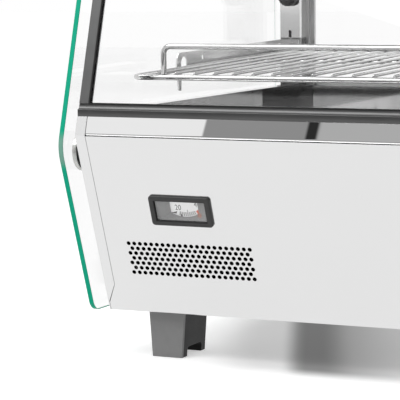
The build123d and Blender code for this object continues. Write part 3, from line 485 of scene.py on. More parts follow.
def painted_reflection_masks(finish):
    """Masks for the painted reflection of the dark deck: the part low enough to mirror the deck,
    and what is past the posts' inner faces."""
    low = 1 - finish.along(upward).rise(painted_reflection_below - 0.003, painted_reflection_below + 0.003)
    across = finish.along(rightward).math("ABSOLUTE")
    return low, across.rise(post_inner - 0.0003, post_inner + 0.0003)


post_sheet = Finish("polished_post_sheet", {"Metallic": 1.0})
post_smear = post_sheet.noise((14.0, 14.0, 40.0), detail=5.0, seed=3.0)
post_low, post_outer = painted_reflection_masks(post_sheet)
post_painted_shade_band = post_sheet.along(upward).within(0.2872, 0.2950, 0.0010)
# Painted reflection and painted shade: near black below the deck's line and in a band just above the
# lower shelf, past the posts' inner faces.
post_painted_reflection_and_shade = (post_low + 0.8 * post_painted_shade_band) * post_outer
post_tone = post_sheet.colour(post_smear, 0.66, 0.76)
post_sheet.feed("Base Color", post_sheet.colour(post_painted_reflection_and_shade, post_tone, 0.07))
post_sheet.feed("Roughness", 0.03 + 0.05 * post_smear)
eased(0.0004, post_sheet, "stainless_polished", "shelf_post_left", "shelf_post_right")
bracket_sheet = Finish("brushed_bracket_sheet", {"Metallic": 1.0})
bracket_grain = bracket_sheet.noise((60.0, 400.0, 400.0), detail=3.0)
bracket_tone = bracket_sheet.colour(bracket_grain, 0.62, 0.74)
bracket_low, bracket_outer = painted_reflection_masks(bracket_sheet)
# Painted reflection: near black below the deck's line, past the posts' inner faces.
bracket_painted_reflection = bracket_low * bracket_outer
bracket_sheet.feed("Base Color", bracket_sheet.colour(bracket_painted_reflection, bracket_tone, 0.10))
flange_face = bracket_sheet.along(rearward).rise(0.2020, 0.2026)
bracket_sheet.feed("Roughness", (0.16 + 0.12 * bracket_grain) * (1 - 0.9 * flange_face))
brackets = ("bracket_lower_left", "bracket_lower_right", "brackets_upper")
eased(0.0003, bracket_sheet, "stainless_polished", *brackets)


# Sill: an aluminium extrusion with a dark grey coat. A cove runs along it between the upright
# face and the pane, and a slot in its top holds the pane.
sill_top = 0.249
frame_lead = 0.0003
sill_half = 0.3293
frame_coat = Finish("dark_grey_coat", {"Metallic": 0.85, "Coat Roughness": 0.2})
coat_speck = frame_coat.noise(1500.0, detail=2.0)
coat_cloud = frame_coat.noise((30.0, 60.0, 60.0), detail=4.0)
inward = (0.0, np.cos(upper_tilt), -np.sin(upper_tilt))
coat_depth = frame_coat.along(inward, (0.0, upper_y(sill_base), sill_base))
bare_back = frame_coat.along(upward).rise(sill_top - 0.0002, sill_top + 0.0002)
bare_back = bare_back * coat_depth.rise(0.0060, 0.0068)
coat_tone = frame_coat.colour(coat_cloud, 0.105, 0.130)
frame_coat.feed("Base Color", frame_coat.colour(bare_back, coat_tone, 0.42))
frame_coat.feed("Roughness", 0.30 + 0.10 * coat_cloud)
frame_coat.relief(coat_speck, 0.000006)


def frame_y(z, inward=0.0):
    """Depth of the frame's outer face at height z, moved in by inward."""
    return upper_y(z, frame_lead - inward)


def sill_profile():
    """The sill's section: face, softened edge, elliptic cove, and the slot for the pane."""
    face_y = upper_y(sill_base) - 0.0005
    face_top = sill_base + 0.0062
    cove_start = face_y + 0.0005
    cove_run = frame_y(sill_top) - cove_start
    cove_rise = sill_top - face_top - 0.0003
    share = np.radians(np.linspace(0, 84, 12))
    cove = np.stack([
        cove_start + cove_run * np.sin(share),
        sill_top - cove_rise * np.cos(share),
    ], axis=-1)
    slot_low = sill_top - 0.006
    slot = [
        (frame_y(sill_top, 0.0018), sill_top),
        (frame_y(slot_low, 0.0018), slot_low),
        (frame_y(slot_low, 0.0072), slot_low),
        (frame_y(sill_top, 0.0072), sill_top),
    ]
    return np.concatenate([
        arc((face_y + 0.0002, sill_base + 0.0002), 0.0002, 270, 180, 3),
        arc((face_y + 0.0005, face_top - 0.0002), 0.0005, 180, 90, 4),
        cove,
        slot,
        [(sill_rear, sill_top), (sill_rear, sill_base)],
    ])


def drawn_along(profile, x_from, x_to):
    """A closed (y, z) profile carried straight from x_from to x_to, with flat ends."""
    count = len(profile)
    x = np.repeat([x_from, x_to], count)
    points = np.column_stack([x, np.tile(profile, (2, 1))])
    faces = quads(2, count, around=True).tolist()
    return points, [*faces, list(range(count)), list(range(count, 2 * count))]


sill_points, sill_faces = drawn_along(sill_profile(), -sill_half, sill_half)
shown(
    "sill_extrusion", sill_points, sill_faces, frame_coat, "black_aluminium", ["front_sill"], sharp=30.0
)


# Uprights and header: the same extrusion family, mitred out of sight and screwed from behind.
extrusions = ("front_upright_left", "front_upright_right", "front_header")
eased(0.0006, frame_coat, "black_aluminium", *extrusions, segments=3)


# Seal of the front pane: two black rubber lips, one on each face of the pane, that run round
# the opening and cover the edges of the frame.
rubber = clouded(
    "black_rubber", {"Specular IOR Level": 0.3}, 120.0, (0.008, 0.020), 0.55, 0.20, detail=4.0
)

header_base = 0.538
opening_half = 0.3196
square = np.array([(-1, -1), (1, -1), (1, 1), (-1, 1)])


def seal_lips():
    """Two rounded bars round the opening. A corner's point is the opening's corner, moved in
    by q on both axes, at a depth d behind the frame's face."""
    middle = np.array([0.0, (sill_top + header_base) / 2])
    reach = np.array([opening_half, (header_base - sill_top) / 2])
    angle = np.linspace(0, 2 * np.pi, 10, endpoint=False)
    points = []
    faces = []
    for depth, thick, wide in ((0.0016, 0.0014, 0.0009), (0.0066, 0.0004, 0.0003)):
        inset = 0.0001 + wide * np.cos(angle)
        back = depth + thick * np.sin(angle)
        corner = middle + square[:, None] * (reach - inset[None, :, None])
        y = frame_y(corner[..., 1], back[None])
        faces.append(quads(4, 10, around=True, along=True) + 40 * len(points))
        points.append(np.stack([corner[..., 0], y, corner[..., 1]], axis=-1).reshape(-1, 3))
    return np.concatenate(points), np.concatenate(faces)


seal_points, seal_faces = seal_lips()
shown("pane_seal", seal_points, seal_faces, rubber, "black_rubber", ["front_glass_seal"], sharp=60.0)


# Front pane and sliding doors: clear tempered glass. The thermometer's lens is a clear
# moulding.
clear_glass = Finish(
    "clear_tempered_glass", {"Roughness": 0.0, "IOR": 1.25, "Transmission Weight": 1.0}
)
film = clear_glass.noise(9.0, detail=5.0)
clear_glass.feed("Base Color", clear_glass.colour(film.rise(0.55, 0.75), 1.0, 0.99))
dress(clear_glass, "front_glass", "door_glass_left", "door_glass_right")

lens_clear = Finish("clear_lens_moulding", {"IOR": 1.45})
lens_haze = lens_clear.noise(150.0, detail=4.0)
lens_clear.feed("Roughness", 0.03 + 0.05 * lens_haze)
lens_clear.feed("Alpha", 0.05 + 0.03 * lens_haze)
dress(lens_clear, "thermometer_lens")


# Side glasses: 5 mm tempered panes cut to the case's profile, with arrised and polished edges
# that show the green of the glass and hold it clear of the body on stand-offs.
glass_gap = 0.010
glass_thickness = 0.005
arris = 0.0004
pane_lead = 0.0033

edge_green = Finish("polished_glass_edge", {"Roughness": 0.35, "Specular IOR Level": 0.12})
edge_height = edge_green.along(upward)
edge_streak = edge_green.noise((350.0, 60.0, 60.0), detail=4.0)
edge_patch = edge_green.noise((60.0, 28.0, 28.0), detail=3.0, seed=7.0)
# Painted highlight: the edge is pale round the nose, where the outline bends; elsewhere pale patches
# fall at random.
nose_highlight = edge_height.within(0.192, 0.219, 0.006)
highlight_and_patch_share = nose_highlight * (0.45 + 0.5 * edge_patch) + 0.25 * edge_patch.rise(0.62, 0.75)
deep = edge_green.colour(edge_streak, (0.001, 0.40, 0.23, 1.0), (0.004, 0.46, 0.29, 1.0))
edge_green.feed("Base Color", edge_green.colour(highlight_and_patch_share, deep, (0.30, 0.42, 0.37, 1.0)))


def fillet(before, here, after, radius, count):
    """Points of the arc that rounds the corner here. It starts a tangent's length before the
    corner and turns about a centre that is the radius away from both sides."""
    back = (before - here) / np.linalg.norm(before - here)
    on = (after - here) / np.linalg.norm(after - here)
    half_angle = np.arccos(np.clip(back @ on, -1, 1)) / 2
    centre = here + (back + on) / np.linalg.norm(back + on) * radius / np.sin(half_angle)
    start = here + back * radius / np.tan(half_angle) - centre
    end = here + on * radius / np.tan(half_angle) - centre
    share = np.linspace(0, 1, count)[:, None]
    sweep = np.pi - 2 * half_angle
    return centre + (np.sin((1 - share) * sweep) * start + np.sin(share * sweep) * end) / np.sin(sweep)


def rounded(corners, radii, per_corner=12):
    """A closed outline through corners, each replaced by its fillet."""
    corners = np.asarray(corners, float)
    radii = np.broadcast_to(radii, len(corners))
    around = zip(np.roll(corners, 1, axis=0), corners, np.roll(corners, -1, axis=0), radii)
    return np.concatenate([fillet(*corner, per_corner) for corner in around])


def glass_outline():
    """The pane's (y, z) outline: foot, nose, roof front, roof rear and floor rear."""
    top_z = 0.599
    rear_y = fold_y + case_depth - 0.004
    lower_lead = 0.011 / np.cos(lower_tilt)
    upper_lead = pane_lead / np.cos(upper_tilt)
    nose_rise = (upper_lead - lower_lead) / (np.tan(lower_tilt) + np.tan(upper_tilt))
    nose = (fold_y - lower_lead - nose_rise * np.tan(lower_tilt), fold_z + nose_rise)
    corners = [
        (fold_y + (fold_z - table_gap) * np.tan(lower_tilt) - lower_lead, table_gap),
        nose,
        (upper_y(top_z, pane_lead), top_z),
        (rear_y, top_z),
        (rear_y, table_gap),
    ]
    return rounded(corners, (0.014, 0.0352, 0.018, 0.018, 0.018), per_corner=16)


def inset_by(line, distance):
    """Moves a closed convex outline inwards along the mean of its neighbouring normals."""
    run = np.roll(line, -1, axis=0) - np.roll(line, 1, axis=0)
    normal = np.stack([-run[:, 1], run[:, 0]], axis=-1)
    normal = normal / np.linalg.norm(normal, axis=-1, keepdims=True)
    inward = np.sign(((line.mean(axis=0) - line) * normal).sum(axis=-1, keepdims=True))
    return line + normal * inward * distance


def glass_pane(x_inner, x_outer):
    """A pane with arrised edges: rings of the outline at the depths of its two faces, each
    face closed by a fan on a middle point."""
    line = glass_outline()
    full = inset_by(line, 0.00001)
    less = inset_by(line, arris)
    step = np.sign(x_outer - x_inner) * arris
    rings = [(less, x_inner), (full, x_inner + step), (full, x_outer - step), (less, x_outer)]
    count = len(line)
    points = [np.column_stack([np.full(count, x), ring]) for ring, x in rings]
    middle = line.mean(axis=0)
    points.append(np.array([(x_inner, *middle), (x_outer, *middle)]))
    faces = quads(4, count, around=True).tolist()
    here = np.arange(count)
    there = (here + 1) % count
    inner_fan = np.stack([there, here, np.full(count, 4 * count)], axis=-1)
    outer_fan = np.stack([3 * count + here, 3 * count + there, np.full(count, 4 * count + 1)], axis=-1)
    return np.concatenate(points), faces + np.concatenate([inner_fan, outer_fan]).tolist()


for side, name in ((-1, "side_glass_left"), (1, "side_glass_right")):
    x_inner = side * (case_half + glass_gap)
    x_outer = side * (case_half + glass_gap + glass_thickness)
    pane_shape = glass_pane(x_inner, x_outer)
    pane = shown(name + "_pane", *pane_shape, clear_glass, "side_glass", [name], sharp=30.0)
    pane.data.materials.append(edge_green.material)
    normals = np.zeros(3 * len(pane.data.polygons))
    pane.data.polygons.foreach_get("normal", normals)
    normals = normals.reshape(-1, 3)
    on_edge = ((np.abs(normals[:, 0]) < 0.95) & (normals[:, 1] < 0.9)).astype(np.int32)
    pane.data.polygons.foreach_set("material_index", on_edge)


# Stand-offs: turned discs bonded to the side glass, each with a stud into the body, over a
# thick black washer that fills the gap.
turned_metal = clouded(
    "satin_turned_metal", {"Metallic": 1.0, "Anisotropic": 0.4}, (900.0, 40.0, 40.0),
    ((0.56, 0.555, 0.54, 1.0), (0.68, 0.675, 0.66, 1.0)), 0.26, 0.12, detail=2.0,
)

disc_radius = 0.019
disc_thickness = 0.0045
washer_radius = 0.0184
canopy_base = 0.556


def standoff_places():
    """(y, z) of a side's six stand-offs: two under the deck, two low down, two in the roof."""
    high = fold_z - 0.0169
    low = table_gap + 0.035
    roof = canopy_base + 0.022
    rear = fold_y + case_depth - 0.035
    low_front = fold_y + (fold_z - low) * np.tan(lower_tilt) + 0.060
    return np.array([
        (fold_y + 0.031, high), (rear, high), (low_front, low), (rear, low),
        (frame_y(roof) + 0.045, roof), (rear, roof),
    ])


def turned(profile, centre, axis, across, sides=32, loop=False):
    """A (distance along, radius) profile turned about an axis through a centre.

    A point is centre + axis * distance + radius * (cos a * across + sin a * their cross
    product). A loop's last profile point joins its first.
    """
    profile = np.asarray(profile, float)
    axis = np.asarray(axis, float)
    across = np.asarray(across, float)
    angle = np.linspace(0, 2 * np.pi, sides, endpoint=False)
    around = np.cos(angle)[:, None] * across + np.sin(angle)[:, None] * np.cross(axis, across)
    points = np.asarray(centre) + profile[:, None, :1] * axis + profile[:, None, 1:] * around
    return points.reshape(-1, 3), quads(len(profile), sides, around=True, along=loop)


def gathered(shapes):
    """Several (points, faces) shapes as one."""
    points = [np.asarray(shape[0]).reshape(-1, 3) for shape in shapes]
    starts = np.cumsum([0] + [len(each) for each in points[:-1]])
    faces = [(np.asarray(shape[1]) + start).tolist() for shape, start in zip(shapes, starts)]
    return np.concatenate(points), [face for group in faces for face in group]


def standoff_profile():
    """Bonded face, rounded rim, inner face, stud and its rounded end."""
    rim = arc((disc_thickness - 0.0007, disc_radius - 0.0007), 0.0007, 90, 0, 4)
    return np.concatenate([
        [(0.0, 0.0), (0.0, disc_radius - 0.0004), (0.0004, disc_radius)],
        rim,
        [(disc_thickness, 0.003), (0.0192, 0.003), (0.0199, 0.0023), (0.0199, 0.0)],
    ])


caps = []
washers = []
for side in (-1, 1):
    for y, z in standoff_places():
        start = (side * (case_half + glass_gap), y, z)
        caps.append(turned(standoff_profile(), start, (-side, 0, 0), rearward, sides=48))
        ring = rounded(
            [(0.0046, 0.0032), (0.0099, 0.0032), (0.0099, washer_radius), (0.0046, washer_radius)],
            (0.0003, 0.0003, 0.0008, 0.0008), per_corner=4,
        )
        washers.append(turned(ring, start, (-side, 0, 0), rearward, sides=48, loop=True))
shown("standoff_discs", *gathered(caps), turned_metal, "standoff_metal", ["glass_standoffs"])
shown("standoff_spacers", *gathered(washers), rubber, "black_rubber", ["standoff_washers"])


# Wire shelves and their lips: a bent rim, rungs welded across it, one cross wire under them
# and a hoop along the front, all bright chrome plated after welding.
chrome = clouded("bright_chrome", {"Metallic": 1.0}, 60.0, (0.56, 0.64), 0.01, 0.03, detail=4.0)

shelf_tilt = np.radians(1.2)
rim_radius = 0.0029
rung_radius = 0.0015
shelf_level = 0.2709
shelf_depth = 0.3791 / np.cos(shelf_tilt)
rim_half = 0.3056
tie_radius = 0.00225
lip_radius = 0.0028
lip_half = 0.2735
lip_height = 0.0295
lowest_front = 0.076


def wire(path, radius, up, sides=12, closed=False):
    """A round wire along a path, with domed ends.

    A ring's point is path + radius * (cos a * n + sin a * b), where n is square to the path
    and to up, and b to both. At a dome the radius goes as the sine of its own quarter turn.
    """
    path = np.asarray(path, float)
    if closed:
        run = np.roll(path, -1, axis=0) - np.roll(path, 1, axis=0)
    else:
        run = np.gradient(path, axis=0)
    run = run / np.linalg.norm(run, axis=-1, keepdims=True)
    radii = np.full(len(path), radius)
    if not closed:
        quarter = np.radians([0, 30, 60])
        cap = np.cos(quarter)[:, None] * radius
        path = np.concatenate([path[:1] - run[:1] * cap, path, path[-1:] + run[-1:] * cap[::-1]])
        radii = np.concatenate([radius * np.sin(quarter), radii, radius * np.sin(quarter[::-1])])
        run = np.concatenate([np.repeat(run[:1], 3, axis=0), run, np.repeat(run[-1:], 3, axis=0)])
    flat = np.cross(run, np.asarray(up, float))
    flat = flat / np.linalg.norm(flat, axis=-1, keepdims=True)
    square = np.cross(run, flat)
    angle = np.linspace(0, 2 * np.pi, sides, endpoint=False)[None, :, None]
    ring = np.cos(angle) * flat[:, None] + np.sin(angle) * square[:, None]
    points = path[:, None] + radii[:, None, None] * ring
    return points.reshape(-1, 3), quads(len(path), sides, around=True, along=closed)


def bead(centre, radius, length):
    """A weld bead: a ball drawn out along x, by latitude and longitude."""
    latitude = np.linspace(-np.pi / 2, np.pi / 2, 7)[:, None]
    longitude = np.linspace(0, 2 * np.pi, 8, endpoint=False)[None]
    around = radius * np.cos(latitude)
    points = np.stack([
        centre[0] + length * np.cos(latitude) * np.cos(longitude),
        centre[1] + around * np.sin(longitude),
        np.broadcast_to(centre[2] + radius * np.sin(latitude), (7, 8)),
    ], axis=-1)
    return points.reshape(-1, 3), quads(7, 8, around=True)


def on_shelf(points, front, rise):
    """Places points drawn level about a shelf's front wire on the shelf's slight slope."""
    x, y, z = np.moveaxis(np.asarray(points, float), -1, 0)
    level = shelf_level + rise + (front - lowest_front) * np.tan(shelf_tilt)
    return np.stack([
        x,
        fold_y + front + y * np.cos(shelf_tilt) - z * np.sin(shelf_tilt),
        level + y * np.sin(shelf_tilt) + z * np.cos(shelf_tilt),
    ], axis=-1)


def wire_shelf(front, rise, depth, cross):
    """Rim, rungs, weld beads and cross wire of one shelf."""
    flat_rim = rounded([(-rim_half, 0), (rim_half, 0), (rim_half, depth), (-rim_half, depth)], 0.008)
    rim = np.column_stack([flat_rim, np.zeros(len(flat_rim))])
    shapes = [wire(rim, rim_radius, upward, sides=16, closed=True)]
    lift = rim_radius + rung_radius - 0.00035
    for x in np.linspace(-0.2803, 0.2803, 29):
        rung = [(x, 0.0, lift), (x, depth / 2, lift), (x, depth, lift)]
        shapes.append(wire(rung, rung_radius, upward, sides=10))
        for y in (0.0, depth):
            shapes.append(bead((x, y, rim_radius), 0.0011, 0.0021))
    under = rim_radius - tie_radius
    tie = [(-rim_half, cross, under), (0.0, cross, under), (rim_half, cross, under)]
    shapes.append(wire(tie, tie_radius, upward, sides=12))
    points, faces = gathered(shapes)
    return on_shelf(points, front, rise), faces


def rounded_run(points, radius):
    """An open path through points, each inner corner replaced by its fillet."""
    points = np.asarray(points, float)
    bends = [fillet(*corner, radius, 9) for corner in zip(points, points[1:], points[2:])]
    return np.concatenate([points[:1], *bends, points[-1:]])


def lip(front, rise):
    """The hoop that stands on a shelf's front wire, with its feet welded to it."""
    low = shelf_level + rise + (front - lowest_front) * np.tan(shelf_tilt) + rim_radius
    high = low - rim_radius + lip_height
    y = fold_y + front
    corners = [(-lip_half, y, low), (-lip_half, y, high), (lip_half, y, high), (lip_half, y, low)]
    beads = [bead(corner, 0.0021, 0.0036) for corner in (corners[0], corners[-1])]
    return gathered([wire(rounded_run(corners, 0.007), lip_radius, rearward, sides=16), *beads])


upper_depth = 0.2831 / np.cos(shelf_tilt)
for name, front, rise, depth, cross in (
    ("lower", lowest_front, 0.0, shelf_depth, 0.229), ("upper", 0.172, 0.143, upper_depth, 0.150)
):
    shelf = wire_shelf(front, rise, depth, cross)
    shown(name + "_wire_shelf", *shelf, chrome, "chrome_wire", ["shelf_" + name], sharp=60.0)
    hoop = lip(front, rise)
    shown(name + "_wire_lip", *hoop, chrome, "chrome_wire", ["shelf_" + name + "_lip"], sharp=60.0)


# Clamp screws of the posts: moulded black heads with fine flutes on a steel stud.
black_moulding = clouded(
    "black_moulding", {"Specular IOR Level": 0.5}, 70.0, (0.018, 0.030), 0.32, 0.16, detail=4.0
)
black_moulding.relief(black_moulding.noise(1800.0, detail=2.0), 0.000010)


def fluted_head(centre):
    """A domed head: radius R(v) * (1 - 0.075 * m(v) * c(a)), where c, a raised cosine, cuts 18
    flutes and m keeps them off the front and the back."""
    station = np.array([
        (0.0, 0.0), (0.0, 0.0086), (-0.0006, 0.0101), (-0.0016, 0.0106), (-0.0092, 0.0106),
        (-0.0104, 0.0103), (-0.0114, 0.0094), (-0.0119, 0.0080), (-0.0120, 0.0060), (-0.0117, 0.0),
    ])
    mask = np.array([0, 0, 0.6, 1, 1, 0.8, 0.3, 0, 0, 0])[:, None]
    angle = np.linspace(0, 2 * np.pi, 144, endpoint=False)[None]
    flute = (0.5 - 0.5 * np.cos(18 * angle)) ** 2
    radius = station[:, 1:] * (1 - 0.075 * mask * flute)
    points = np.stack([
        centre[0] + radius * np.cos(angle),
        np.broadcast_to(centre[1] + station[:, :1], radius.shape),
        centre[2] + radius * np.sin(angle),
    ], axis=-1)
    return points.reshape(-1, 3), quads(len(station), 144, around=True)


screws = []
for side in (-1, 1):
    face = (side * 0.3065, fold_y + 0.466, 0.341)
    stud = [(0, 0), (0, 0.0025), (0.0212, 0.0025), (0.0215, 0)]
    screws.append(fluted_head(face))
    screws.append(turned(stud, face, rearward, rightward))
shown("clamp_screws", *gathered(screws), black_moulding, "black_plastic", ["post_clamp_screws"])


# Thermometer: a moulded bezel with softened edges round a clear lens, a pale grey funnel, a
# white dial with a printed scale and a dark pointer that rests below its lowest mark.
bezel_centre = np.array([0.0972 - case_half, 0.07465])
slope_up = np.array([0.0, -np.sin(lower_tilt), np.cos(lower_tilt)])
slope_out = np.array([0.0, -np.cos(lower_tilt), -np.sin(lower_tilt)])
dial_middle = np.array([bezel_centre[0], fold_y, fold_z]) - slope_up * bezel_centre[1]

bezel_moulding = Finish("moulded_bezel", {"Specular IOR Level": 0.28})
bezel_cloud = bezel_moulding.noise(160.0, detail=3.0)
bezel_grit = bezel_moulding.noise(2600.0, detail=2.0)
bezel_tone = bezel_moulding.colour(bezel_cloud, 0.044, 0.060)
from_middle = bezel_moulding.along(rightward, dial_middle)
from_centre = bezel_moulding.along(slope_up, dial_middle)
# Painted shade: the walls of the window, round the lens, are near black.
beside = from_middle.math("ABSOLUTE").rise(0.0263, 0.0267)
above = from_centre.math("ABSOLUTE").rise(0.0106, 0.0109)
window_wall_painted_shade = 1 - beside.math("MAXIMUM", above)
bezel_moulding.feed("Base Color", bezel_moulding.colour(window_wall_painted_shade, bezel_tone, 0.004))
bezel_moulding.feed("Roughness", 0.30 + 0.12 * bezel_cloud)
bezel_moulding.relief(bezel_grit, 0.000008)

case_moulding = Finish("moulded_case", {"Specular IOR Level": 0.4})
case_cloud = case_moulding.noise(120.0, detail=3.0)
case_tone = case_moulding.colour(case_cloud, 0.36, 0.44)
red_across = case_moulding.along(rightward, dial_middle).within(0.0132, 0.0180, 0.0010)
red_up = case_moulding.along(slope_up, dial_middle).within(-0.0080, -0.0044, 0.0010)
reddened = case_moulding.colour(0.6 * (red_across * red_up), case_tone, (0.70, 0.22, 0.10, 1.0))
case_moulding.feed("Base Color", reddened)
case_moulding.feed("Roughness", 0.42 + 0.12 * case_cloud)


def on_thermometer(flat, out):
    """Places (across, up) points on the inclined front, moved out along its normal."""
    flat = np.asarray(flat, float)
    out = np.broadcast_to(np.asarray(out, float), flat.shape[:-1])[..., None]
    return dial_middle + flat[..., :1] * rightward + flat[..., 1:] * slope_up + out * slope_out


def window(width, height, radius):
    """A rounded rectangle about the middle, with extra points along its straight sides."""
    size = np.array([width, height]) / 2
    line = rounded(size * square, radius, per_corner=8)
    ends = np.roll(line, -1, axis=0)[7::8, None]
    share = np.linspace(0, 1, 8, endpoint=False)[None, :, None]
    sides = line[7::8, None] * (1 - share) + ends * share
    return np.concatenate([line.reshape(4, 8, 2)[:, :-1], sides], axis=1).reshape(-1, 2)


def bezel_ring():
    """The bezel: rounded rectangles at growing height, then down into the window."""
    millimetres = [
        (63.0, 30.5, 3.2, 0.0), (63.0, 30.5, 3.2, 1.7), (62.6, 30.1, 3.0, 2.3), (61.9, 29.4, 2.7, 2.7),
        (60.9, 28.4, 2.2, 2.8), (53.4, 21.9, 1.2, 2.8), (52.2, 20.7, 1.0, 2.5), (51.3, 19.8, 0.8, 1.9),
        (51.0, 19.5, 0.7, 1.25), (52.6, 21.1, 0.7, 1.25), (52.6, 21.1, 0.7, 0.0),
    ]
    rings = [on_thermometer(window(*ring[:3]), ring[3]) for ring in np.array(millimetres) / 1000]
    count = len(rings[0])
    return np.concatenate(rings), quads(len(rings), count, around=True, along=True)


def throat(width, height, radius):
    """The funnel's lower opening: a window whose bottom side follows the scale's arc."""
    line = window(width, height, radius)
    across, up = line[:, 0], line[:, 1]
    sag = 0.0173 - np.sqrt(0.027 ** 2 - across ** 2)
    return np.stack([across, np.where(up < 0, up * sag / (-height / 2), up)], axis=-1)


def case_shell():
    """The case: closed back, straight sides, rim, funnel down to the throat, and the chamber."""
    def pole(out):
        return np.repeat(on_thermometer(np.zeros((1, 2)), out), count, axis=0)

    box = window(0.056, 0.024, 0.001)
    mouth = window(0.051, 0.0195, 0.0007)
    neck = throat(0.0288, 0.0194, 0.0008)
    chamber = window(0.044, 0.022, 0.001)
    count = len(box)
    steps = [
        (box, -0.024), (box, 0.0), (mouth, 0.0), (neck, -0.0065), (neck, -0.0069), (chamber, -0.0069),
        (chamber, -0.0090),
    ]
    rings = [pole(-0.024), *(on_thermometer(ring, out) for ring, out in steps), pole(-0.0090)]
    return np.concatenate(rings), quads(len(rings), count, around=True)


bezel = bezel_ring()
shown("thermometer_frame", *bezel, bezel_moulding, "black_plastic", ["thermometer_bezel"], sharp=50.0)
shown("thermometer_funnel", *case_shell(), case_moulding, "grey_plastic", ["thermometer_case"])

tick_pitch = 4.6
# Painted light: the dial glows in its own printed colour, which brightens it in the funnel.
dial_print = Finish("printed_dial_painted_glow", {"Roughness": 0.38, "Emission Strength": 0.38})
scale_centre = dial_middle + slope_up * 0.0173
across = dial_print.along(rightward, scale_centre)
up = dial_print.along(slope_up, scale_centre)
radius = (across * across + up * up).math("SQRT")
bearing = across.math("ARCTAN2", 0 - up)
tick_count = bearing / np.radians(tick_pitch)
tick_wave = (tick_count + 0.5).math("FRACT")
ticks = tick_wave.within(0.28, 0.72, 0.05) * radius.within(0.0228, 0.0268, 0.0001)
ticks = ticks * bearing.within(np.radians(-17.0), np.radians(25.0), 0.004)
half_way = bearing.within(np.radians(4.6), np.radians(6.4), 0.006)
half_way = half_way * radius.within(0.0203, 0.0223, 0.0001)
wedge_share = (0 - bearing - np.radians(21.5)) / np.radians(12.0)
wedge_low = radius - (0.0235 + 0.0048 * wedge_share)
wedge_high = 0.0266 + 0.0019 * wedge_share - radius
wedge = wedge_low.rise(0.0, 0.0002) * wedge_high.rise(0.0, 0.0002)
wedge = wedge * wedge_share.within(0.0, 1.0, 0.02)
mark_width = (radius - 0.0236) * 0.32
mark_reach = (bearing + np.radians(10.0)).math("ABSOLUTE") * 0.025
mark = (mark_width - mark_reach).rise(0.0, 0.0002) * radius.within(0.0236, 0.0285, 0.0001)
ink = ticks.math("MAXIMUM", half_way).math("MAXIMUM", wedge).math("MAXIMUM", mark)
hot = bearing.within(np.radians(27.0), np.radians(45.0), 0.02) * radius.within(0.0238, 0.0275, 0.0003)
enamel = dial_print.noise(220.0, detail=3.0)
paper = dial_print.colour(enamel, 0.86, 0.92)
warm = dial_print.colour(hot, paper, (0.62, 0.14, 0.07, 1.0))
printed = dial_print.colour(ink * 0.92, warm, 0.03)
dial_print.feed("Base Color", printed)
# Painted light: the printed colour also glows.
dial_print.feed("Emission Color", printed)
eased(0.0001, dial_print, "white_dial", "thermometer_dial")

numeral_ink = clouded(
    "numeral_ink", {"Specular IOR Level": 0.3}, 900.0, (0.10, 0.16), 0.45, 0.1, detail=2.0
)


def numeral(text, bearing_degrees):
    """A number of the scale as a thin mesh, upright, a set distance from the scale's centre."""
    curve = bpy.data.curves.new("numeral", "FONT")
    curve.body = text
    curve.size = 0.0074
    curve.align_x = "CENTER"
    curve.align_y = "CENTER"
    made = placed("numeral", curve)
    bpy.context.view_layer.update()
    mesh = bpy.data.meshes.new_from_object(made)
    flat = np.zeros(3 * len(mesh.vertices))
    mesh.vertices.foreach_get("co", flat)
    faces = [tuple(polygon.vertices) for polygon in mesh.polygons]
    bpy.data.objects.remove(made)
    turn_by = np.radians(bearing_degrees)
    offset = np.array([0.0188 * np.sin(turn_by), 0.0163 - 0.0188 * np.cos(turn_by)])
    flat = flat.reshape(-1, 3)[:, :2] * np.array([0.88, 1.05]) + offset
    return on_thermometer(flat, -0.00815), faces


numeral_points, numeral_faces = gathered([numeral("20", -22.5), numeral("40", 44.0)])
numeral_mesh = bpy.data.meshes.new("dial_numerals")
numeral_mesh.from_pydata(numeral_points.tolist(), [], numeral_faces)
numeral_mesh.materials.append(numeral_ink.material)
dial_numerals = placed("dial_numerals", numeral_mesh)
thicken = dial_numerals.modifiers.new("ink", "SOLIDIFY")
thicken.thickness = 0.00004
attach(dial_numerals, "cabinet")

pointer_lacquer = clouded(
    "pointer_lacquer", {"Specular IOR Level": 0.5}, 400.0, (0.03, 0.05), 0.30, 0.1, detail=2.0
)
dress(pointer_lacquer, "thermometer_pointer")


# Sensing bulb and its capillary: drawn copper tube from the back of the thermometer up to the
# underside of the deck, dulled by heat.
copper = Finish("heat_dulled_copper", {"Metallic": 1.0})
tarnish = copper.noise(90.0, detail=5.0)
dulled = copper.colour(tarnish.rise(0.35, 0.7), (0.78, 0.40, 0.26, 1.0), (0.36, 0.20, 0.15, 1.0))
copper.feed("Base Color", dulled)
copper.feed("Roughness", 0.25 + 0.30 * tarnish)

deck_underside = 0.2223
bulb_z = deck_underside - 0.0035 - 0.0002
bulb_x = bezel_centre[0]
bulb_y = fold_y + 0.085
tube_start = dial_middle - slope_out * 0.024
tube_bend = tube_start - slope_out * ((bulb_y - 0.015 - tube_start[1]) / -slope_out[1])
tube_end = (bulb_x + 0.015, bulb_y, bulb_z)
corners = [tuple(tube_start), tuple(tube_bend), (bulb_x, bulb_y, bulb_z - 0.006), tube_end]
bulb_run = [(bulb_x + reach, bulb_y, bulb_z) for reach in (0.0175, 0.04, 0.0725)]
copper_shapes = [
    wire(rounded_run(corners, 0.004), 0.0009, (0.3, 0.2, 1.0), sides=10),
    wire(bulb_run, 0.0035, upward, sides=16),
]
shown("copper_bulb", *gathered(copper_shapes), copper, "copper_bulb", ["thermometer_bulb"], sharp=60.0)


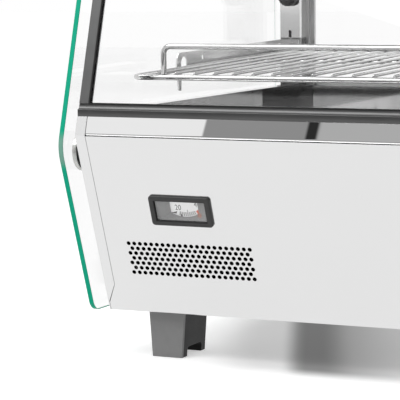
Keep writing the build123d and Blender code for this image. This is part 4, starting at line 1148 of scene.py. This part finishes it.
# Feet: moulded dark plastic with an arch through each side, bolted up into the bottom plate.
# All but the front faces of the front feet carry a painted shade: their base colour is near black.
foot_moulding = Finish("moulded_foot", {"Specular IOR Level": 0.15})
foot_cloud = foot_moulding.noise(60.0, detail=4.0)
foot_grit = foot_moulding.noise(1500.0, detail=2.0)
foot_front = foot_moulding.colour(foot_cloud, 0.23, 0.28)
painted_side_shade = foot_moulding.along(rearward).rise(-0.1840, -0.1828)
foot_moulding.feed("Base Color", foot_moulding.colour(painted_side_shade, foot_front, 0.006))
foot_moulding.feed("Roughness", 0.36 + 0.14 * foot_cloud)
foot_moulding.relief(foot_grit, 0.000015)
eased(0.0007, foot_moulding, "foot_plastic", "front_feet", "rear_feet", segments=3)

zinc = clouded(
    "zinc_plated_steel", {"Metallic": 1.0}, 300.0,
    ((0.50, 0.50, 0.48, 1.0), (0.66, 0.66, 0.63, 1.0)), 0.28, 0.22,
)
bolt = [
    (0, 0), (0, 0.0044), (0.0004, 0.0049), (0.0036, 0.0049), (0.0039, 0.0045), (0.0039, 0.003),
    (0.0435, 0.003), (0.0437, 0.0),
]
bolts = [
    turned(bolt, (x, y, 0.0093), upward, rightward, sides=24)
    for x in (-0.2732, 0.2732)
    for y in (-0.160181, 0.192419)
]
shown("foot_screws", *gathered(bolts), zinc, "zinc_bolt", ["foot_bolts"])


# Rear frame and door tracks: natural anodised aluminium sections.
anodised = Finish("natural_anodised", {"Metallic": 1.0})
extrusion_line = anodised.noise((700.0, 700.0, 5.0), detail=2.0)
anodised_cloud = anodised.noise(20.0, detail=3.0)
anodised.feed("Base Color", anodised.colour(anodised_cloud, 0.55, 0.63))
anodised.feed("Roughness", 0.30 + 0.10 * extrusion_line)
rear_sections = ("rear_upright_left", "rear_upright_right", "door_track_bottom", "door_track_top")
eased(0.0003, anodised, "grey_aluminium", *rear_sections)


# Door grips: cups of black moulding set through the sliding panes.
def cup_profile():
    """The grip's section: flange outside, wall through the glass, and a shallow floor."""
    return [
        (0.0, 0.0), (0.0, 0.0145), (0.0002, 0.0149), (0.0040, 0.0149), (0.0040, 0.0176),
        (0.0042, 0.0179), (0.0046, 0.0179), (0.0048, 0.0176), (0.0048, 0.0134), (0.0044, 0.0130),
        (0.0012, 0.0128), (0.0008, 0.0122), (0.0008, 0.0),
    ]


grip_x = case_half - 0.003 - 0.035 - 0.0005 - 0.040
for name, x, front in (("door_grip_left", -grip_x, 0.495), ("door_grip_right", grip_x, 0.502)):
    cup = turned(cup_profile(), (x, fold_y + front, 0.400), rearward, rightward, sides=48)
    shown(name + "_cup", *cup, black_moulding, "black_plastic", [name])


# Thermostat, its knob and the two rocker switches: black mouldings. A white line on the knob
# shows where it stands.
knob_finish = Finish("marked_knob", {"Specular IOR Level": 0.5})
knob_cloud = knob_finish.noise(70.0, detail=4.0)
knob_x = case_half - 0.180
knob_z = table_gap + 0.085
knob_across = knob_finish.along(rightward, (knob_x, 0.0, 0.0))
knob_up = knob_finish.along(upward, (0.0, 0.0, knob_z))
mark_line = knob_across.within(-0.0007, 0.0007, 0.0001) * knob_up.within(0.006, 0.0165, 0.0002)
knob_base = knob_finish.colour(knob_cloud, 0.020, 0.034)
knob_finish.feed("Base Color", knob_finish.colour(mark_line, knob_base, 0.75))
knob_finish.feed("Roughness", 0.30 + 0.14 * knob_cloud)


def knob_shape():
    """Skirt and grip turned about the shaft, and a rounded ridge across the front."""
    skirt = [
        (0, 0), (0, 0.0193), (0.0004, 0.0199), (0.0026, 0.0199), (0.0032, 0.0192), (0.0036, 0.0150),
        (0.0044, 0.0144), (0.0118, 0.0140), (0.0126, 0.0132), (0.0128, 0.0118), (0.0128, 0.0),
    ]
    centre = (knob_x, fold_y + case_depth + 0.0005, knob_z)
    body = turned(skirt, centre, rearward, rightward, sides=64)
    outline = rounded(square * np.array([0.0042, 0.017]), 0.0018, 8)
    rings = []
    for narrow, short, out in (
        (0.0, 0.0, 0.0030), (1.0, 1.0, 0.0030), (1.0, 1.0, 0.0148), (0.96, 0.99, 0.0156),
        (0.86, 0.965, 0.0160), (0.0, 0.0, 0.0160),
    ):
        x, z = (outline * np.array([narrow, short])).T
        rings.append(np.stack([x, np.full(len(x), out), z], axis=-1) + centre)
    ridge = (np.concatenate(rings), quads(len(rings), len(outline), around=True))
    return gathered([body, ridge])


shown("thermostat_dial_knob", *knob_shape(), knob_finish, "black_plastic", ["thermostat_knob"])
eased(0.0005, black_moulding, "black_plastic", "thermostat_body", "switch_housings")
rocker_gloss = Finish(
    "gloss_rocker", {"Specular IOR Level": 0.5, "Coat Weight": 0.3, "Coat Roughness": 0.08}
)
rocker_cloud = rocker_gloss.noise(90.0, detail=3.0)
rocker_up = rocker_gloss.along(upward, (0.0, 0.0, knob_z))
first_x = knob_x - 0.080
rocker_dots = 0.0
for index in (0, 1):
    rocker_across = rocker_gloss.along(rightward, (first_x - index * 0.040, 0.0, 0.0))
    bar_mark = rocker_across.within(-0.0004, 0.0004, 0.0001) * rocker_up.within(0.0035, 0.0065, 0.0001)
    ring_up = rocker_up + 0.005
    ring_reach = (rocker_across * rocker_across + ring_up * ring_up).math("SQRT")
    rocker_dots = bar_mark + ring_reach.within(0.0013, 0.0019, 0.0001) + rocker_dots
rocker_base = rocker_gloss.colour(rocker_cloud, 0.014, 0.024)
rocker_gloss.feed("Base Color", rocker_gloss.colour(rocker_dots, rocker_base, 0.8))
rocker_gloss.feed("Roughness", 0.12 + 0.10 * rocker_cloud)
eased(0.0006, rocker_gloss, "rocker_plastic", "power_rocker", "lamp_rocker", segments=3)


# Cable gland: a black moulded nut with a tapering barrel, a lock nut inside the panel and a
# free bore for the supply cable.
def gland_shape():
    """Barrel and tail turned round the bore, and two six-sided nuts on them."""
    centre = (-case_half + 0.080, fold_y + case_depth, table_gap + 0.045)
    section = [
        (-0.0120, 0.0041), (-0.0120, 0.0076), (-0.0116, 0.0079), (0.0070, 0.0079), (0.0072, 0.0085),
        (0.0120, 0.0086), (0.0150, 0.0078), (0.0172, 0.0066), (0.0179, 0.0058), (0.0179, 0.0046),
        (0.0174, 0.0041),
    ]
    shapes = [turned(section, centre, rearward, rightward, sides=40, loop=True)]
    for low, high in ((0.0, 0.0072), (-0.0052, -0.0012)):
        nut = [
            (low, 0.0072), (low, 0.0102), (low + 0.0006, 0.0109), (high - 0.0006, 0.0109),
            (high, 0.0102), (high, 0.0072),
        ]
        shapes.append(turned(nut, centre, rearward, rightward, sides=6, loop=True))
    return gathered(shapes)


shown("gland_body", *gland_shape(), black_moulding, "black_plastic", ["cable_gland"], sharp=25.0)


# Roof lamp: a frosted tube between two white ceramic holders.
frosted = Finish("frosted_lamp", {"Specular IOR Level": 0.5})
frost = frosted.noise(500.0, detail=2.0)
end_tone = frosted.along(rightward).math("ABSOLUTE").rise(0.212, 0.218)
frosted.feed("Base Color", frosted.colour(end_tone, (0.86, 0.85, 0.80, 1.0), (0.55, 0.55, 0.54, 1.0)))
frosted.feed("Roughness", 0.30 + 0.10 * frost)
lamp_y = fold_y + 0.215 + 0.045
lamp_z = canopy_base + sheet + 0.030 - 0.012
lamp_profile = np.concatenate([
    [(0.0, 0.0)],
    arc((0.0012, 0.0048), 0.0011, 180, 90, 4),
    arc((0.4488, 0.0048), 0.0011, 90, 0, 4),
    [(0.45, 0.0)],
])
lamp = turned(lamp_profile, (-0.225, lamp_y, lamp_z), rightward, rearward, sides=32)
shown("roof_lamp", *lamp, frosted, "lamp_glass", ["lamp_tube"])

ceramic = clouded(
    "glazed_ceramic", {"Coat Weight": 0.4, "Coat Roughness": 0.1}, 240.0,
    ((0.74, 0.73, 0.70, 1.0), (0.82, 0.81, 0.79, 1.0)), 0.20, 0.15, detail=4.0,
)
eased(0.0006, ceramic, "white_ceramic", "lamp_holders", "terminal_block")


# Heating element: a sheathed tube bent to and fro under the deck, with patches of heat tint.
heater_sheath = Finish("heater_sheath", {"Metallic": 1.0})
tint = heater_sheath.noise(30.0, detail=4.0)
tinted = heater_sheath.colour(tint.rise(0.35, 0.7), (0.30, 0.28, 0.25, 1.0), (0.20, 0.15, 0.12, 1.0))
heater_sheath.feed("Base Color", tinted)
heater_sheath.feed("Roughness", 0.35 + 0.20 * tint)
element_z = deck_underside - 0.0042
passes = np.arange(4)
element_y = np.repeat(fold_y + 0.120 + 0.080 * passes, 2)
element_x = np.array([0.25, -0.25, -0.25, 0.25, 0.25, -0.25, -0.25, 0.25])
element_run = rounded_run(np.column_stack([element_x, element_y, np.full(8, element_z)]), 0.0235)
element = wire(element_run, 0.0038, upward, sides=14)
shown("heater_tube", *element, heater_sheath, "heater_steel", ["heating_element"], sharp=60.0)


# Stage: a white sweep that keeps the case's soft shadow, with a painted shadow under the case,
# one broad lamp over the front left, and a white surround. Bright metal sees the darker end of
# the studio behind the camera.
floor_mesh = bpy.data.meshes.new("floor")
reach = 14.0
floor_corners = np.column_stack([reach * square, np.zeros(4)])
floor_mesh.from_pydata(floor_corners.tolist(), [], [(0, 1, 2, 3)])
floor = placed("floor", floor_mesh)
sweep = Finish("white_sweep", {"Roughness": 0.9, "Specular IOR Level": 0.1, "Emission Strength": 1.0})
seen = sweep.ray("Camera") + sweep.ray("Glossy") + sweep.ray("Transmission")

# Mirrored in bright metal, the floor has a nearly black strip by the camera and is dim beyond
# it, more so to the east.
far_floor = 1 - sweep.along(rearward).rise(-1.9, -1.3)
east_floor = sweep.along(rightward).rise(-1.35, -1.20)
mirrored = sweep.ray("Glossy")
near_card = sweep.along(rearward).within(-2.2, -1.5, 0.08)
shade = far_floor * (0.40 + 0.42 * east_floor) * (1 - near_card) + 0.92 * near_card

# Seen plainly, the floor under the case carries a painted shadow: it darkens from its left end to
# a nearly black, slanting streak, and is dark grey beyond it.
under_x = sweep.along(rightward).within(-0.30, 0.33, 0.05)
under_y = sweep.along(rearward).within(-0.212, 0.24, 0.025)
below = under_x * under_y * (1 - mirrored)
streak = sweep.along((0.927, 0.375, 0.0))
painted_under_light = 0.02 + 0.34 * (1 - streak.rise(-0.30, -0.235))
painted_under_light = painted_under_light + 0.20 * (1 - streak.rise(-0.215, -0.195))
painted_under_light = painted_under_light + 0.16 * streak.rise(-0.175, -0.140)
lit = sweep.colour(painted_under_light * 1.6, 0.0, 0.50)
lit = sweep.colour(below, 0.50, lit)
lit = sweep.colour(mirrored, lit, sweep.colour(shade, 0.86, 0.02))
sweep.feed("Emission Color", sweep.colour(seen.math("MINIMUM", 1.0), 0.0, lit))
# Painted shadow: the base colour darkens along the same streak under the case.
painted_shadow_streak = below * streak.rise(-0.215, -0.188) * (1 - 0.75 * streak.rise(-0.165, -0.080))
matt = sweep.colour(painted_shadow_streak, 0.80, 0.32)
sweep.feed("Base Color", sweep.colour(mirrored, matt, 0.15))
floor_mesh.materials.append(sweep.material)

world = bpy.data.worlds.new("surround")
world.use_nodes = True
bpy.context.scene.world = world
surround = Nodes(world.node_tree)
heading = surround.node("ShaderNodeTexCoord", output="Generated")
east, north, high = (
    surround.node("ShaderNodeSeparateXYZ", None, {0: heading}, output=axis) for axis in range(3)
)

# Bright metal mirrors a dim studio towards the camera, with a dark line in it and a bright end
# to the west, a dim rear wall, side walls that are a little dim, and a bright ceiling.
towards_camera = (0 - north).rise(0.25, 0.45)
westing = east / north.math("MINIMUM", -0.1)
far_end = 1 - westing.rise(0.5355, 0.5375) * high.rise(0.30, 0.36)
gloom = 0.16 + 0.16 * high.rise(0.1, 0.38)
gloom = gloom + 0.18 * (1 - westing.rise(0.459, 0.462)) * high.rise(0.2, 0.4)
gloom = gloom - 0.29 * westing.within(0.4615, 0.4685, 0.0012) * high.rise(0.2, 0.4)
ceiling = high.rise(0.68, 0.88)
dim = towards_camera * far_end * (1 - ceiling)
rear_wall = north.rise(0.15, 0.35) * (1 - high.rise(0.45, 0.75))
side_wall = east.math("ABSOLUTE").rise(0.60, 0.85) * (1 - high.rise(0.45, 0.75))
shine = 1 - dim * (1 - gloom) - rear_wall * 0.64 - side_wall * 0.16
plainly_seen = (surround.ray("Camera") + surround.ray("Transmission")).math("MINIMUM", 1.0)

# Other surfaces get more light from the west than from the east.
from_east = east.rise(-0.1, 0.75)
soft_light = surround.colour(from_east, 0.86, 0.10)
mirrored_light = surround.colour(shine, 0.0, 1.0)
glow = surround.colour(surround.ray("Glossy"), soft_light, mirrored_light)
glow = surround.colour(plainly_seen, glow, 1.0)
backdrop = world.node_tree.nodes["Background"]
world.node_tree.links.new(glow.socket, backdrop.inputs["Color"])

softbox = bpy.data.lights.new("softbox", "AREA")
softbox.shape = "RECTANGLE"
softbox.size = 1.6
softbox.size_y = 1.2
softbox.energy = 22.0
softbox_stand = placed("softbox", softbox)
softbox_stand.location = (-1.1, -1.5, 2.0)
aim = Vector((0.0, 0.0, 0.3)) - softbox_stand.location
softbox_stand.rotation_euler = aim.to_track_quat("-Z", "Y").to_euler()

bpy.context.scene.view_settings.view_transform = "Standard"
